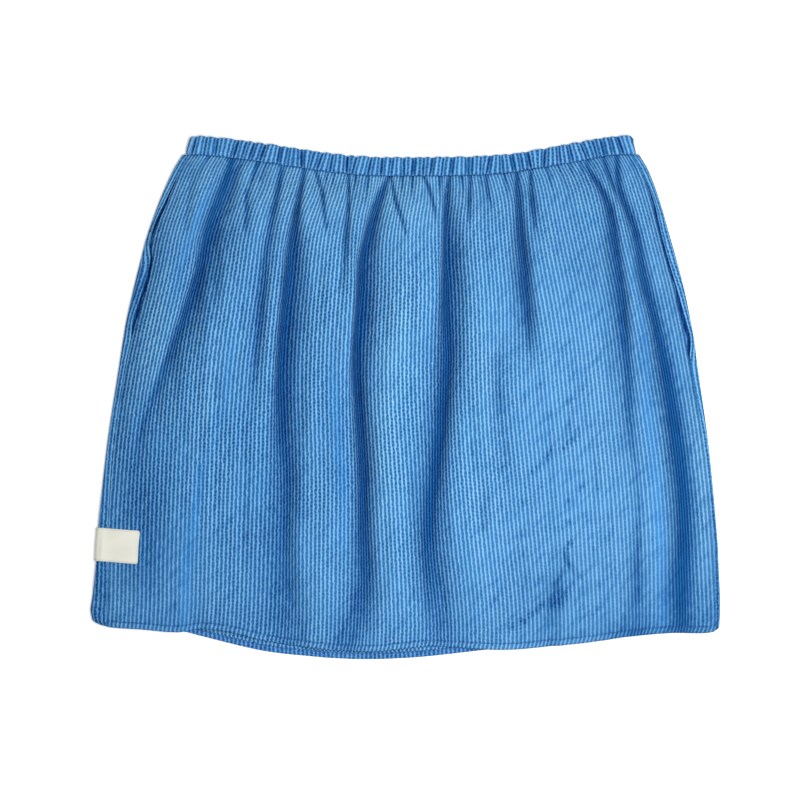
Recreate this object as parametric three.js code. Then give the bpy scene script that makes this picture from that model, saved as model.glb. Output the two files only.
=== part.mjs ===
// Mini skirt in striped seersucker, pulled on over an elastic waist, laid flat on a table.
//
// Frame: millimetres, +Z up. The skirt lies on its back panel with the front facing up, +Y points
// to the waist and +X to the right as seen from above. The origin is the middle of the footprint.
//
// Construction: a front panel and a back panel, each one rectangle of cloth with the stripes
// running down it, are sewn together at two side seams and gathered into a narrow waistband, a
// casing that holds the elastic. Laid flat the tube is two layers deep: the back panel lies on the
// table, turns over at both sides and meets the front panel a little way in on top. The upper part
// of each side seam is left open as a pocket mouth, with a bag of two layers behind it. Both hems
// are turned up inside as a narrow strip, and the back hem hangs a little lower than the front.
// A plain folded label is wrapped round the left side near the hem.
//
// Every cloth piece is a wall through rows of sections. "down" is the distance from the upper
// corners of the waistband towards the hem, and "across" is the distance from the middle.

import * as THREE from "three";

// ---- Driving sizes ----
const SKIRT_LENGTH = 404; // waistband corners to the lowest point of the back hem
const CLOTH = 1.0; // wall of one layer of cloth
const SEAM_GAP = 0.3; // between two pieces that are sewn together
const EDGE_HEIGHT = 5.0; // of the folded sides above the table, and of the front over a pocket bag
const VALLEY_HEIGHT = 3.2; // least height of the front where nothing but the back lies under it
const BAND_DEPTH = 14.5; // of the waistband, from its upper edge to its seam
const BAND_WALL = 3.0; // casing and elastic together
const BAND_HEIGHT = 7.4; // of the flattened waistband above the table
const BAND_ENDS = { left: -166, right: 176, leftFlare: 3.9, rightFlare: 2 }; // flare: how far each slants
const HEM_TURN = 4.8; // width of the strip turned up inside the hem
const LAYER_STEP = CLOTH + SEAM_GAP; // from one layer to the next that lies on it

// The sides: the outline across, how far in from it the front panel starts ("Seam"), and how far
// the back panel's turned edge stays apart from the front there ("Gape"), as at the pocket mouths.
const SIDES = [
  { down: 14, left: -171, right: 178.8, leftSeam: 6.4, leftGape: 0, rightSeam: 6.6, rightGape: 0 },
  { down: 27, left: -179, right: 186.5, leftSeam: 6.2, leftGape: 0, rightSeam: 6.6, rightGape: 0 },
  { down: 50, left: -189.2, right: 195.2, leftSeam: 6.7, leftGape: 1.7, rightSeam: 6.4, rightGape: 1 },
  { down: 78, left: -199.3, right: 203.3, leftSeam: 4.6, leftGape: 0.9, rightSeam: 8, rightGape: 1.1 },
  { down: 99, left: -204.8, right: 209.2, leftSeam: 9.3, leftGape: 1.1, rightSeam: 8.2, rightGape: 1.2 },
  { down: 120, left: -210, right: 214.6, leftSeam: 9.7, leftGape: 2.2, rightSeam: 7.6, rightGape: 1.4 },
  { down: 143, left: -215.2, right: 219.3, leftSeam: 7.6, leftGape: 1.6, rightSeam: 7.2, rightGape: 2.3 },
  { down: 157, left: -217.6, right: 221.9, leftSeam: 6.9, leftGape: 0.4, rightSeam: 6.8, rightGape: 2.9 },
  { down: 178, left: -220.8, right: 224.6, leftSeam: 5.4, leftGape: 0, rightSeam: 6.4, rightGape: 0 },
  { down: 240, left: -230.2, right: 233.2, leftSeam: 5.6, leftGape: 0, rightSeam: 4.4, rightGape: 0 },
  { down: 310, left: -237.4, right: 239.8, leftSeam: 8.4, leftGape: 0, rightSeam: 3.9, rightGape: 0 },
  { down: 332, left: -238.6, right: 240.9, leftSeam: 9.6, leftGape: 0, rightSeam: 3.9, rightGape: 0 },
  { down: 352, left: -241, right: 241.8, leftSeam: 11.4, leftGape: 0, rightSeam: 3.9, rightGape: 0 },
  { down: 368, left: -242.8, right: 242, leftSeam: 12.4, leftGape: 0, rightSeam: 3.9, rightGape: 0 },
  { down: 381, left: -239.5, right: 241.2, leftSeam: 12, leftGape: 0, rightSeam: 3.9, rightGape: 0 },
];
const SIDE_GAP = 0.45; // between the two panels at the curved side seams
const SIDE_ENDS = { left: 378, right: 380 }; // how far down the two lower corners are

// The waistband's upper edge, which sags between its corners.
const WAIST = [
  { across: -172, down: 0.8 },
  { across: -150, down: 1.6 },
  { across: -112, down: 6.2 },
  { across: -66, down: 13.1 },
  { across: -31, down: 16.8 },
  { across: 15, down: 17.3 },
  { across: 61, down: 16.2 },
  { across: 88, down: 13.6 },
  { across: 130, down: 6.2 },
  { across: 158, down: 1.4 },
  { across: 180, down: 0.6 },
];

// The folded edges of the two hems.
const HEM = [
  { across: -243, front: 371, back: 371 },
  { across: -240, front: 374.5, back: 374.5 },
  { across: -234, front: 377.5, back: 377.4 },
  { across: -227, front: 379.2, back: 378.8 },
  { across: -204, front: 380.6, back: 379.8 },
  { across: -176, front: 382.8, back: 381.8 },
  { across: -158, front: 380.2, back: 386 },
  { across: -136, front: 382.2, back: 391.6 },
  { across: -108, front: 389.6, back: 397.8 },
  { across: -74, front: 394.8, back: 401.6 },
  { across: -32, front: 398, back: 404 },
  { across: 13, front: 393.8, back: 402 },
  { across: 45, front: 395, back: 398.6 },
  { across: 75, front: 396, back: 395.2 },
  { across: 120, front: 392.6, back: 391 },
  { across: 168, front: 386.8, back: 385.2 },
  { across: 203, front: 383.6, back: 382.6 },
  { across: 228, front: 383.6, back: 382.8 },
  { across: 238, front: 382, back: 381.4 },
  { across: 242, front: 378.5, back: 378.3 },
];

// The largest folds of the front, as valleys that run down from the gathers: where each valley
// is across and how deep it is at the seam, a quarter, half and three quarters of the way, and hem.
const FOLDS = [
  { name: "left_side", across: [-131, -158, -193, -212, -219], deep: [2.4, 9.5, 7, 0.8, 0], wide: [4, 8] },
  { name: "left_fine", across: [-93, -109, -119, -132, -140], deep: [1.8, 4.4, 1.6, 0, 0], wide: [3.5, 5] },
  { name: "left_deep", across: [-79, -90, -95.5, -93.5, -90], deep: [1.6, 10, 10, 7.5, 3], wide: [5, 13] },
  { name: "middle", across: [-16, -34.5, -36, -33, -43], deep: [2.4, 11.5, 11, 8.5, 3.2], wide: [4.5, 12] },
  { name: "centre", across: [34.5, 31, 28.5, 17, 31], deep: [2.4, 10.5, 10.5, 8.5, 3.2], wide: [4.5, 13] },
  { name: "short", across: [82, 92, 103, 111, 113], deep: [2.2, 8, 0.6, 1.6, 1.6], wide: [4, 9] },
  { name: "right_fine", across: [150, 163.5, 172, 178, 178.5], deep: [2.2, 8, 6, 2.6, 2.6], wide: [5, 8] },
  { name: "right_side", across: [158, 184, 205, 213.5, 213], deep: [2, 8, 9.5, 9, 3.4], wide: [4, 10] },
];
const FOLD_SHARES = [0, 0.25, 0.5, 0.75, 1]; // where the folds' columns above are measured
const FOLD_SHARPNESS = 0.15; // rounding of a valley's bottom, as a share of its width

// How high the front puffs between its folds, and how far in it takes to rise from each side.
const PUFF = [
  { share: 0, height: 6.4, rise: 10 },
  { share: 0.1, height: 12.4, rise: 13 },
  { share: 0.3, height: 16.4, rise: 17 },
  { share: 0.6, height: 15.2, rise: 24 },
  { share: 0.85, height: 11.6, rise: 28 },
  { share: 1, height: 8, rise: 28 },
];

// Shallow hollows under the back panel, where it lifts off the table between the pocket bags.
const BACK_FOLDS = [
  { name: "back_left", across: [-34, -42, -50, -58, -62], lift: [0.6, 2.4, 2, 1.4, 1], wide: 14 },
  { name: "back_middle", across: [4, -6, -10, -6, 4], lift: [0.6, 2.6, 2.6, 1.8, 1], wide: 15 },
  { name: "back_right", across: [44, 50, 60, 72, 82], lift: [0.6, 2.2, 2.4, 1.6, 1], wide: 14 },
];

// The label: its middle, size and tilt, and how far round it the cloth is lifted ("clear", "fade").
const LABEL = {
  down: 315, height: 25.5, reach: 33, tilt: 0.065, wall: 1, lift: LAYER_STEP, clear: 20, fade: 28,
};
const LABEL_UPPER = [1, 0.84, 0.68, 0.52, 0.36, 0.22, 0.12]; // shares of its reach over the front
const LABEL_UNDER = [0.3, 0.65, 1]; // and under the back
const LABEL_CLEARANCE = 0.45; // between the label and the curved cloth under it

// The pocket bags: how deep they hang, how far in from the seam they reach, and their round bottom.
const POCKET = { bottom: 238, reach: 110, inset: 2.6, straight: 0.55, corner: 0.96, roundness: 2.4 };
const HEM_REST = { from: 0.84, to: 0.96 }; // shares of the way down over which valleys rise on to the hems
const REST_MARGIN = 14; // how far the front stays up past the edge of a bag or label under it

// ---- Colours ----
const CLOTH_BLUE = new THREE.Color(0.12, 0.36, 0.72);
const BAND_BLUE = new THREE.Color(0.11, 0.34, 0.69);
const INSIDE_BLUE = new THREE.Color(0.1, 0.31, 0.63);
const LABEL_CREAM = new THREE.Color(0.83, 0.8, 0.7);

// ---- Helpers ----
const mix = (a, b, share) => a + (b - a) * share;
const clamp = (value, low, high) => Math.min(high, Math.max(low, value));
const ease = (share) => {
  const s = clamp(share, 0, 1);
  return s * s * (3 - 2 * s);
};

// A smooth curve through the points (xs[i], ys[i]), held level past both ends.
function curveThrough(xs, ys) {
  const last = xs.length - 1;
  const slope = (i) => {
    const before = Math.max(i - 1, 0);
    const after = Math.min(i + 1, last);
    return (ys[after] - ys[before]) / (xs[after] - xs[before]);
  };
  return (x) => {
    if (x <= xs[0]) return ys[0];
    if (x >= xs[last]) return ys[last];
    let i = 0;
    while (xs[i + 1] < x) i += 1;
    const step = xs[i + 1] - xs[i];
    const s = (x - xs[i]) / step;
    const start = ys[i] * (1 + 2 * s) * (1 - s) ** 2 + slope(i) * step * s * (1 - s) ** 2;
    const end = ys[i + 1] * s * s * (3 - 2 * s) - slope(i + 1) * step * s * s * (1 - s);
    return start + end;
  };
}

const columnCurve = (table, key, column) =>
  curveThrough(table.map((row) => row[key]), table.map((row) => row[column]));

const side = {};
for (const column of ["left", "right", "leftSeam", "leftGape", "rightSeam", "rightGape"]) {
  side[column] = columnCurve(SIDES, "down", column);
}
const waistDown = columnCurve(WAIST, "across", "down");
const hemDown = {
  front: columnCurve(HEM, "across", "front"),
  back: columnCurve(HEM, "across", "back"),
};
const puffHeight = columnCurve(PUFF, "share", "height");
const puffRise = columnCurve(PUFF, "share", "rise");
const folds = FOLDS.map((fold) => ({
  ...fold,
  acrossAt: curveThrough(FOLD_SHARES, fold.across),
  deepAt: curveThrough(FOLD_SHARES, fold.deep),
}));
const backFolds = BACK_FOLDS.map((fold) => ({
  ...fold,
  acrossAt: curveThrough(FOLD_SHARES, fold.across),
  liftAt: curveThrough(FOLD_SHARES, fold.lift),
}));

const seamDown = (across) => waistDown(across) + BAND_DEPTH + SEAM_GAP;
const toY = (down) => SKIRT_LENGTH / 2 - down;

// The outline and the seams of one row. Both ends of a row reach the outline at the same share.
function rowAt(share, panel) {
  const down = (across) => mix(seamDown(across), hemDown[panel](across), share);
  const leftDown = down(side.left(mix(SIDES[0].down, SIDE_ENDS.left, share)));
  const rightDown = down(side.right(mix(SIDES[0].down, SIDE_ENDS.right, share)));
  return {
    down,
    left: side.left(leftDown),
    right: side.right(rightDown),
    leftSeam: side.leftSeam(leftDown),
    leftTurn: side.leftSeam(leftDown) - Math.max(0, side.leftGape(leftDown)) - SIDE_GAP,
    rightSeam: side.rightSeam(rightDown),
    rightTurn: side.rightSeam(rightDown) - Math.max(0, side.rightGape(rightDown)) - SIDE_GAP,
  };
}

// A closed wall between an outer and an inner grid of points, both [row][column]. Rows or columns
// that run round join their ends, and the others get a rim.
function wall(outer, inner, columnsClose = false) {
  const rows = outer.length;
  const columns = outer[0].length;
  const points = [...outer.flat(), ...inner.flat()];
  const out = (i, j) => i * columns + (j % columns);
  const into = (i, j) => rows * columns + out(i, j);
  const triangles = [];
  const quad = (a, b, c, d) => triangles.push(a, b, c, a, c, d);
  const lastColumn = columnsClose ? columns : columns - 1;
  for (let i = 0; i < rows - 1; i += 1) {
    for (let j = 0; j < lastColumn; j += 1) {
      quad(out(i, j), out(i + 1, j), out(i + 1, j + 1), out(i, j + 1));
      quad(into(i, j), into(i, j + 1), into(i + 1, j + 1), into(i + 1, j));
    }
    if (!columnsClose) {
      quad(out(i, 0), into(i, 0), into(i + 1, 0), out(i + 1, 0));
      quad(out(i, lastColumn), out(i + 1, lastColumn), into(i + 1, lastColumn), into(i, lastColumn));
    }
  }
  for (let j = 0; j < lastColumn; j += 1) {
    quad(out(0, j), out(0, j + 1), into(0, j + 1), into(0, j));
    quad(out(rows - 1, j), into(rows - 1, j), into(rows - 1, j + 1), out(rows - 1, j + 1));
  }
  const geometry = new THREE.BufferGeometry();
  geometry.setAttribute("position", new THREE.Float32BufferAttribute(points.flat(), 3));
  geometry.setIndex(triangles);
  return geometry.toNonIndexed();
}

const lowered = (grid, by) => grid.map((row) => row.map(([x, y, z]) => [x, y, z - by]));
const rightToLeft = (grid) => grid.map((row) => [...row].reverse());
const shares = (count) => Array.from({ length: count + 1 }, (_, i) => i / count);

const skirt = new THREE.Group();

function addPiece(name, geometry, color, roughness = 0.9) {
  geometry.computeVertexNormals();
  const material = new THREE.MeshStandardMaterial({ color, roughness, metalness: 0 });
  const piece = new THREE.Mesh(geometry, material);
  piece.name = name;
  skirt.add(piece);
}

// ---- Front panel ----

// The sections of both panels, as shares of the way from the waist seam to the hem.
const PANEL_ROWS = [
  0, 0.03, 0.08, 0.14, 0.2, 0.26, 0.32, 0.38, 0.44, 0.5, 0.56, 0.63, 0.7, 0.77, 0.81, 0.84, 0.88, 0.92,
  0.96, 1,
];

// How far both panels are lifted off the table: by the back's own hollows, and by the label,
// which passes under the left side.
function lift(across, down) {
  const share = clamp((down - seamDown(across)) / (hemDown.back(across) - seamDown(across)), 0, 1);
  let raised = 0;
  for (const fold of backFolds) {
    const away = (across - fold.acrossAt(share)) / fold.wide;
    raised += fold.liftAt(share) * Math.max(0, 1 - away * away) ** 2;
  }
  const along = 1 - ease((Math.abs(down - LABEL.down) - LABEL.clear) / LABEL.fade);
  const inward = 1 - ease((across - side.left(down) - LABEL.reach - REST_MARGIN) / LABEL.fade);
  return raised + LABEL.lift * along * inward;
}

// The least height of the front: on the pocket bags near the sides, on the hems at the lower edge,
// and elsewhere on the back panel.
function valleyFloor(across, share, row) {
  const fromSide = Math.min(across - row.left, row.right - across);
  const pastBag = ease((fromSide - POCKET.reach - REST_MARGIN) / REST_MARGIN);
  const belowBag = ease((row.down(across) - POCKET.bottom - SEAM_GAP) / (2 * REST_MARGIN));
  const aboveHem = 1 - ease((share - HEM_REST.from) / (HEM_REST.to - HEM_REST.from));
  const nearTurn = ease(fromSide / REST_MARGIN);
  return mix(EDGE_HEIGHT, VALLEY_HEIGHT, Math.max(pastBag, belowBag) * aboveHem * nearTurn);
}

function frontHeight(across, share, row) {
  const fromLeft = across - row.left - row.leftSeam;
  const fromRight = row.right - row.rightSeam - across;
  const rise = (1 - Math.exp(-fromLeft / puffRise(share))) * (1 - Math.exp(-fromRight / puffRise(share)));
  let height = mix(EDGE_HEIGHT, puffHeight(share), rise);
  for (const fold of folds) {
    const away = Math.abs(across - fold.acrossAt(share)) / mix(fold.wide[0], fold.wide[1], share);
    height -= fold.deepAt(share) * rise * Math.exp(FOLD_SHARPNESS - Math.hypot(away, FOLD_SHARPNESS));
  }
  return Math.max(height, valleyFloor(across, share, row)) + lift(across, row.down(across));
}

// Columns run down the valleys, and divide the cloth between two of them evenly.
const COLUMNS_BETWEEN = [6, 7, 3, 8, 8, 9, 9, 3, 4];

function frontColumns(share, row) {
  const stops = [
    row.left + row.leftSeam,
    ...folds.map((fold) => fold.acrossAt(share)),
    row.right - row.rightSeam,
  ];
  const columns = [stops[0]];
  COLUMNS_BETWEEN.forEach((count, i) => {
    for (let k = 1; k <= count; k += 1) columns.push(mix(stops[i], stops[i + 1], k / count));
  });
  return columns;
}

function frontPoints(share) {
  const row = rowAt(share, "front");
  return frontColumns(share, row).map((across) => [
    across,
    toY(row.down(across)),
    frontHeight(across, share, row),
  ]);
}

const frontGrid = PANEL_ROWS.map(frontPoints);
addPiece("front_panel", wall(frontGrid, lowered(frontGrid, CLOTH)), CLOTH_BLUE);

// ---- Back panel ----

const TURN_STEPS = 4; // facets of each folded side
const BACK_COLUMNS = 26;

// One row of the back panel, inset from the skirt's outside by 0 for the outer face: from the left
// turned edge round the left fold, under the skirt, round the right fold to the right turned edge.
function backPoints(share, inset) {
  const row = rowAt(share, "back");
  const radius = EDGE_HEIGHT / 2;
  const point = (across, height) => {
    const down = row.down(across);
    return [across, toY(down), height + lift(across, down)];
  };
  const round = (centre, sign) =>
    shares(TURN_STEPS).map((s) => {
      const angle = Math.PI * (0.5 - s) * sign;
      const r = radius - inset;
      return point(centre - sign * r * Math.cos(angle), radius + r * Math.sin(angle));
    });
  const leftCentre = row.left + radius;
  const rightCentre = row.right - radius;
  const under = shares(BACK_COLUMNS)
    .slice(1, -1)
    .map((s) => point(mix(leftCentre, rightCentre, s), inset));
  return [
    point(row.left + row.leftTurn, EDGE_HEIGHT - inset),
    ...round(leftCentre, 1),
    ...under,
    ...round(rightCentre, -1),
    point(row.right - row.rightTurn, EDGE_HEIGHT - inset),
  ];
}

const backOuter = rightToLeft(PANEL_ROWS.map((share) => backPoints(share, 0)));
const backInner = rightToLeft(PANEL_ROWS.map((share) => backPoints(share, CLOTH)));
addPiece("back_panel", wall(backOuter, backInner), CLOTH_BLUE);

// ---- Waistband ----

const BAND_STEPS = 28; // along each half of the band
const BAND_TURNS = 4; // round each of its ends

// The band's path seen along the skirt: along the front on top, round the right end and back
// underneath. Each station is where its middle runs and which way its outside faces.
function bandStations() {
  const radius = (BAND_HEIGHT - BAND_WALL) / 2;
  const middle = BAND_HEIGHT / 2;
  const leftEnd = BAND_ENDS.left + middle;
  const rightEnd = BAND_ENDS.right - middle;
  const along = (from, to, facing) =>
    shares(BAND_STEPS).map((s) => ({ x: mix(from, to, s), z: middle + facing * radius, nx: 0, nz: facing }));
  const turn = (centre, start) =>
    shares(BAND_TURNS).slice(1, -1).map((s) => {
      const angle = start - Math.PI * s;
      const nx = Math.cos(angle);
      const nz = Math.sin(angle);
      return { x: centre + radius * nx, z: middle + radius * nz, nx, nz };
    });
  return [
    ...along(leftEnd, rightEnd, 1),
    ...turn(rightEnd, Math.PI / 2),
    ...along(rightEnd, leftEnd, -1),
    ...turn(leftEnd, -Math.PI / 2),
  ];
}

// The band's outside face is rounded at both edges, and its inside face is flat.
const BAND_OUTSIDE = [
  { share: 0, out: 0.2 },
  { share: 0.12, out: 0.8 },
  { share: 0.5, out: 1 },
  { share: 0.88, out: 0.8 },
  { share: 1, out: 0.3 },
];

function bandPoints(share, out) {
  const { left, right, leftFlare, rightFlare } = BAND_ENDS;
  return bandStations().map(({ x, z, nx, nz }) => {
    const reach = (out * BAND_WALL) / 2;
    const slant = x < 0 ? (-leftFlare * x) / left : (rightFlare * x) / right;
    const across = x + nx * reach + share * slant;
    return [across, toY(waistDown(across) + share * BAND_DEPTH), z + nz * reach];
  });
}

const bandOuter = BAND_OUTSIDE.map(({ share, out }) => bandPoints(share, out));
const bandInner = BAND_OUTSIDE.map(({ share }) => bandPoints(share, -1));
addPiece("waistband", wall(bandOuter, bandInner, true), BAND_BLUE);

// ---- Hems ----

// The turned-up strip lies inside its panel along the folded edge.
function frontHem() {
  const edge = frontPoints(1);
  const row = rowAt(1, "front");
  const turnShare = HEM_TURN / (row.down(0) - seamDown(0));
  const upper = frontPoints(1 - turnShare);
  const grid = [upper, edge].map((points) => points.slice(1, -1).map(([x, y, z]) => [x, y, z - LAYER_STEP]));
  return wall(grid, lowered(grid, CLOTH));
}

function backHem() {
  const row = rowAt(1, "back");
  const turnShare = HEM_TURN / (row.down(0) - seamDown(0));
  const columns = (share) => backPoints(share, CLOTH).slice(TURN_STEPS + 3, -(TURN_STEPS + 3));
  const grid = [columns(1 - turnShare), columns(1)].map((points) =>
    points.map(([x, y, z]) => [x, y, z + SEAM_GAP]),
  );
  const raised = lowered(grid, -CLOTH);
  return wall(raised, grid);
}

addPiece("front_hem", frontHem(), INSIDE_BLUE);
addPiece("back_hem", backHem(), INSIDE_BLUE);

// ---- Pocket bags ----

// Each bag is two layers, caught in the waist seam above and round below. Its back layer starts
// inside the turned side, and its front layer at the front panel's edge, so that the mouth opens
// between the two.
function pocketLayer(sign, height, startAt) {
  const edge = sign < 0 ? side.left : side.right;
  const grid = shares(7).map((s) => {
    const level = mix(SIDES[0].down, POCKET.bottom, s);
    const start = startAt(level);
    const below = Math.max(0, s - POCKET.straight) / (1 - POCKET.straight);
    const end = start + (POCKET.reach - start) * Math.sqrt(1 - POCKET.corner * below ** POCKET.roundness);
    return shares(4).map((a) => {
      const across = edge(level) - sign * mix(start, end, a);
      const down = mix(seamDown(across) + SEAM_GAP, POCKET.bottom, s);
      return [across, toY(down), height + lift(across, down)];
    });
  });
  const outer = sign < 0 ? grid : rightToLeft(grid);
  return wall(outer, lowered(outer, CLOTH));
}

for (const [sideName, sign] of [["left", -1], ["right", 1]]) {
  const backLayer = pocketLayer(sign, CLOTH + LAYER_STEP, () => POCKET.inset);
  const frontLayer = pocketLayer(sign, CLOTH + 2 * LAYER_STEP, side[`${sideName}Seam`]);
  addPiece(`pocket_back_${sideName}`, backLayer, INSIDE_BLUE);
  addPiece(`pocket_front_${sideName}`, frontLayer, INSIDE_BLUE);
}

// ---- Label ----

// A strip wrapped round the left side, over the front and under the back.
function label() {
  const radius = EDGE_HEIGHT / 2 + SEAM_GAP + LABEL.wall;
  const rowPoints = (s, inset) => {
    const down = LABEL.down + (s - 0.5) * LABEL.height;
    const left = side.left(down);
    const share = (down - seamDown(left)) / (hemDown.front(left) - seamDown(left));
    const row = rowAt(share, "front");
    const centre = left + EDGE_HEIGHT / 2;
    const middle = EDGE_HEIGHT / 2 + LABEL.lift;
    const tilted = (across) => toY(down + (across - left) * LABEL.tilt);
    const over = LABEL_UPPER.map((u) => {
      const across = left + LABEL.reach * u;
      const height = frontHeight(Math.max(across, left + row.leftSeam), share, row);
      return [across, tilted(across), height + LABEL_CLEARANCE + LABEL.wall - inset];
    });
    const round = shares(6).map((k) => {
      const angle = Math.PI * (0.5 + k);
      const r = radius - inset;
      return [centre + r * Math.cos(angle), tilted(centre), middle + r * Math.sin(angle)];
    });
    const under = LABEL_UNDER.map((u) => {
      const across = left + LABEL.reach * u;
      return [across, tilted(across), middle - radius + inset];
    });
    return [...over, ...round, ...under];
  };
  const outer = rightToLeft(shares(4).map((s) => rowPoints(s, 0)));
  const inner = rightToLeft(shares(4).map((s) => rowPoints(s, LABEL.wall)));
  return wall(outer, inner);
}

addPiece("label", label(), LABEL_CREAM, 0.85);

export default skirt;
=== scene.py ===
# Pull-on mini skirt in fine striped seersucker, laid flat with its front up: gathered elastic
# waist, in-seam side pockets, narrow hem, small bare label round the left side.
#
# Tables are in millimetres. "across" runs to the right from the middle, "down" runs from the upper
# corners of the waistband to the hem, and heights are above the table.

import math

import bpy
import numpy as np
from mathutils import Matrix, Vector


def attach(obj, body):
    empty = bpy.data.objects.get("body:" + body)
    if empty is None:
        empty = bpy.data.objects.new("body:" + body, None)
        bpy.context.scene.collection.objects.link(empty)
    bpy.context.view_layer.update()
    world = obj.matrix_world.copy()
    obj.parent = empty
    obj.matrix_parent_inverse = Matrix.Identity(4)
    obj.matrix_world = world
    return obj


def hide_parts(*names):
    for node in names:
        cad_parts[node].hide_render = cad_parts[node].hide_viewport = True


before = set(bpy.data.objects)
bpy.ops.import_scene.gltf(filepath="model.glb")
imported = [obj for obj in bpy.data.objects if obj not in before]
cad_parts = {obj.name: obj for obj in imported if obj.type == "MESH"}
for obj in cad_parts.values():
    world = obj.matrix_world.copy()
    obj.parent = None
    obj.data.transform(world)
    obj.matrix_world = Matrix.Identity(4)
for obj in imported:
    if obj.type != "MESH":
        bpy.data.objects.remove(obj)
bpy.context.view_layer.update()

MM = 0.001

# ---- Camera ----
VIEW_MIDDLE = (-4.6, -2.3)  # across and up from the middle of the skirt
VIEW_WIDTH = 616.0
VIEW_LENS = 85.0
VIEW_SENSOR = 36.0
VIEW_LEVEL = 3.0  # height of the plane that is VIEW_WIDTH wide

# ---- Floor and light, in metres ----
FLOOR_REACH, FLOOR_LEVEL = 4.0, -0.0003
FLOOR_GREY, FLOOR_GLOW = (0.93, 0.93, 0.93), 0.22
LAMP_PLACE, LAMP_SIZE, LAMP_POWER = (0.17, -0.05, 0.88), 0.40, 9.3
WORLD_LIGHT = 0.28

# ---- Sizes shared with the frame ----
SKIRT_LENGTH = 404.0
CLOTH, SEAM_GAP = 1.0, 0.3
LAYER_STEP = CLOTH + SEAM_GAP
EDGE_HEIGHT, VALLEY_HEIGHT = 5.0, 3.2  # of the front at the sides, and least of all in its valleys
BAND_DEPTH, BAND_WALL, BAND_HEIGHT = 14.5, 3.0, 7.4
BAND_LEFT, BAND_RIGHT = -166.0, 176.0
BAND_LEFT_FLARE, BAND_RIGHT_FLARE = 3.9, 2.0  # how much further out the band's ends are at its seam
HEM_TURN = 4.8  # width of the strip turned up inside each hem
SIDE_TOP, SIDE_END_LEFT, SIDE_END_RIGHT = 14.0, 378.0, 380.0  # how far down the sides start and end
SIDE_GAP = 0.45  # between the front and the back's turned edge
POCKET_BOTTOM, POCKET_REACH, POCKET_INSET = 238.0, 110.0, 2.6
POCKET_STRAIGHT, POCKET_CORNER, POCKET_ROUND = 0.55, 0.96, 2.4  # where the bag's round corner starts
REST_MARGIN = 14.0  # over which the front comes down past what lies under it
HEM_REST = (0.84, 0.96)  # shares of the way down over which the front's valleys rise on to the hems
LABEL_DOWN, LABEL_HEIGHT, LABEL_REACH = 315.0, 25.5, 33.0
LABEL_TILT, LABEL_WALL, LABEL_CLEARANCE = 0.065, 1.0, 0.45
LABEL_CLEAR, LABEL_FADE = 20.0, 28.0  # how far from the label the cloth is lifted, and settles
LABEL_CORNER = 1.7
SHARES = (0, 0.25, 0.5, 0.75, 1)

# The sides: down, left and right edge, how far inside each its seam is and how far its pocket gapes
# (left seam, left gape, right seam, right gape).
SIDES = (
    (14, -171, 178.8, 6.4, 0, 6.6, 0),
    (27, -179, 186.5, 6.2, 0, 6.6, 0),
    (50, -189.2, 195.2, 6.7, 1.7, 6.4, 1.0),
    (78, -199.3, 203.3, 4.6, 0.9, 8.0, 1.1),
    (99, -204.8, 209.2, 9.3, 1.1, 8.2, 1.2),
    (120, -210, 214.6, 9.7, 2.2, 7.6, 1.4),
    (143, -215.2, 219.3, 7.6, 1.6, 7.2, 2.3),
    (157, -217.6, 221.9, 6.9, 0.4, 6.8, 2.9),
    (178, -220.8, 224.6, 5.4, 0, 6.4, 0),
    (240, -230.2, 233.2, 5.6, 0, 4.4, 0),
    (310, -237.4, 239.8, 8.4, 0, 3.9, 0),
    (332, -238.6, 240.9, 9.6, 0, 3.9, 0),
    (352, -241, 241.8, 11.4, 0, 3.9, 0),
    (368, -242.8, 242, 12.4, 0, 3.9, 0),
    (381, -239.5, 241.2, 12, 0, 3.9, 0),
)
# across, down: the waistband's upper edge
WAIST = (
    (-172, 0.8), (-150, 1.6), (-112, 6.2), (-66, 13.1), (-31, 16.8), (15, 17.3), (61, 16.2),
    (88, 13.6), (130, 6.2), (158, 1.4), (180, 0.6),
)
# across, down of the front hem, down of the back hem
HEM = (
    (-243, 371, 371), (-240, 374.5, 374.5), (-234, 377.5, 377.4), (-227, 379.2, 378.8),
    (-204, 380.6, 379.8), (-176, 382.8, 381.8),
    (-158, 380.2, 386), (-136, 382.2, 391.6), (-108, 389.6, 397.8), (-74, 394.8, 401.6),
    (-32, 398, 404), (13, 393.8, 402), (45, 395, 398.6), (75, 396, 395.2), (120, 392.6, 391),
    (168, 386.8, 385.2), (203, 383.6, 382.6), (228, 383.6, 382.8), (238, 382, 381.4), (242, 378.5, 378.3),
)
# How high the front puffs between its folds: share of the way down, height, distance to rise in.
PUFF = ((0, 6.8, 10), (0.1, 15, 13), (0.3, 20, 17), (0.6, 18.5, 24), (0.85, 14, 28), (1, 9.2, 28))

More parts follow.
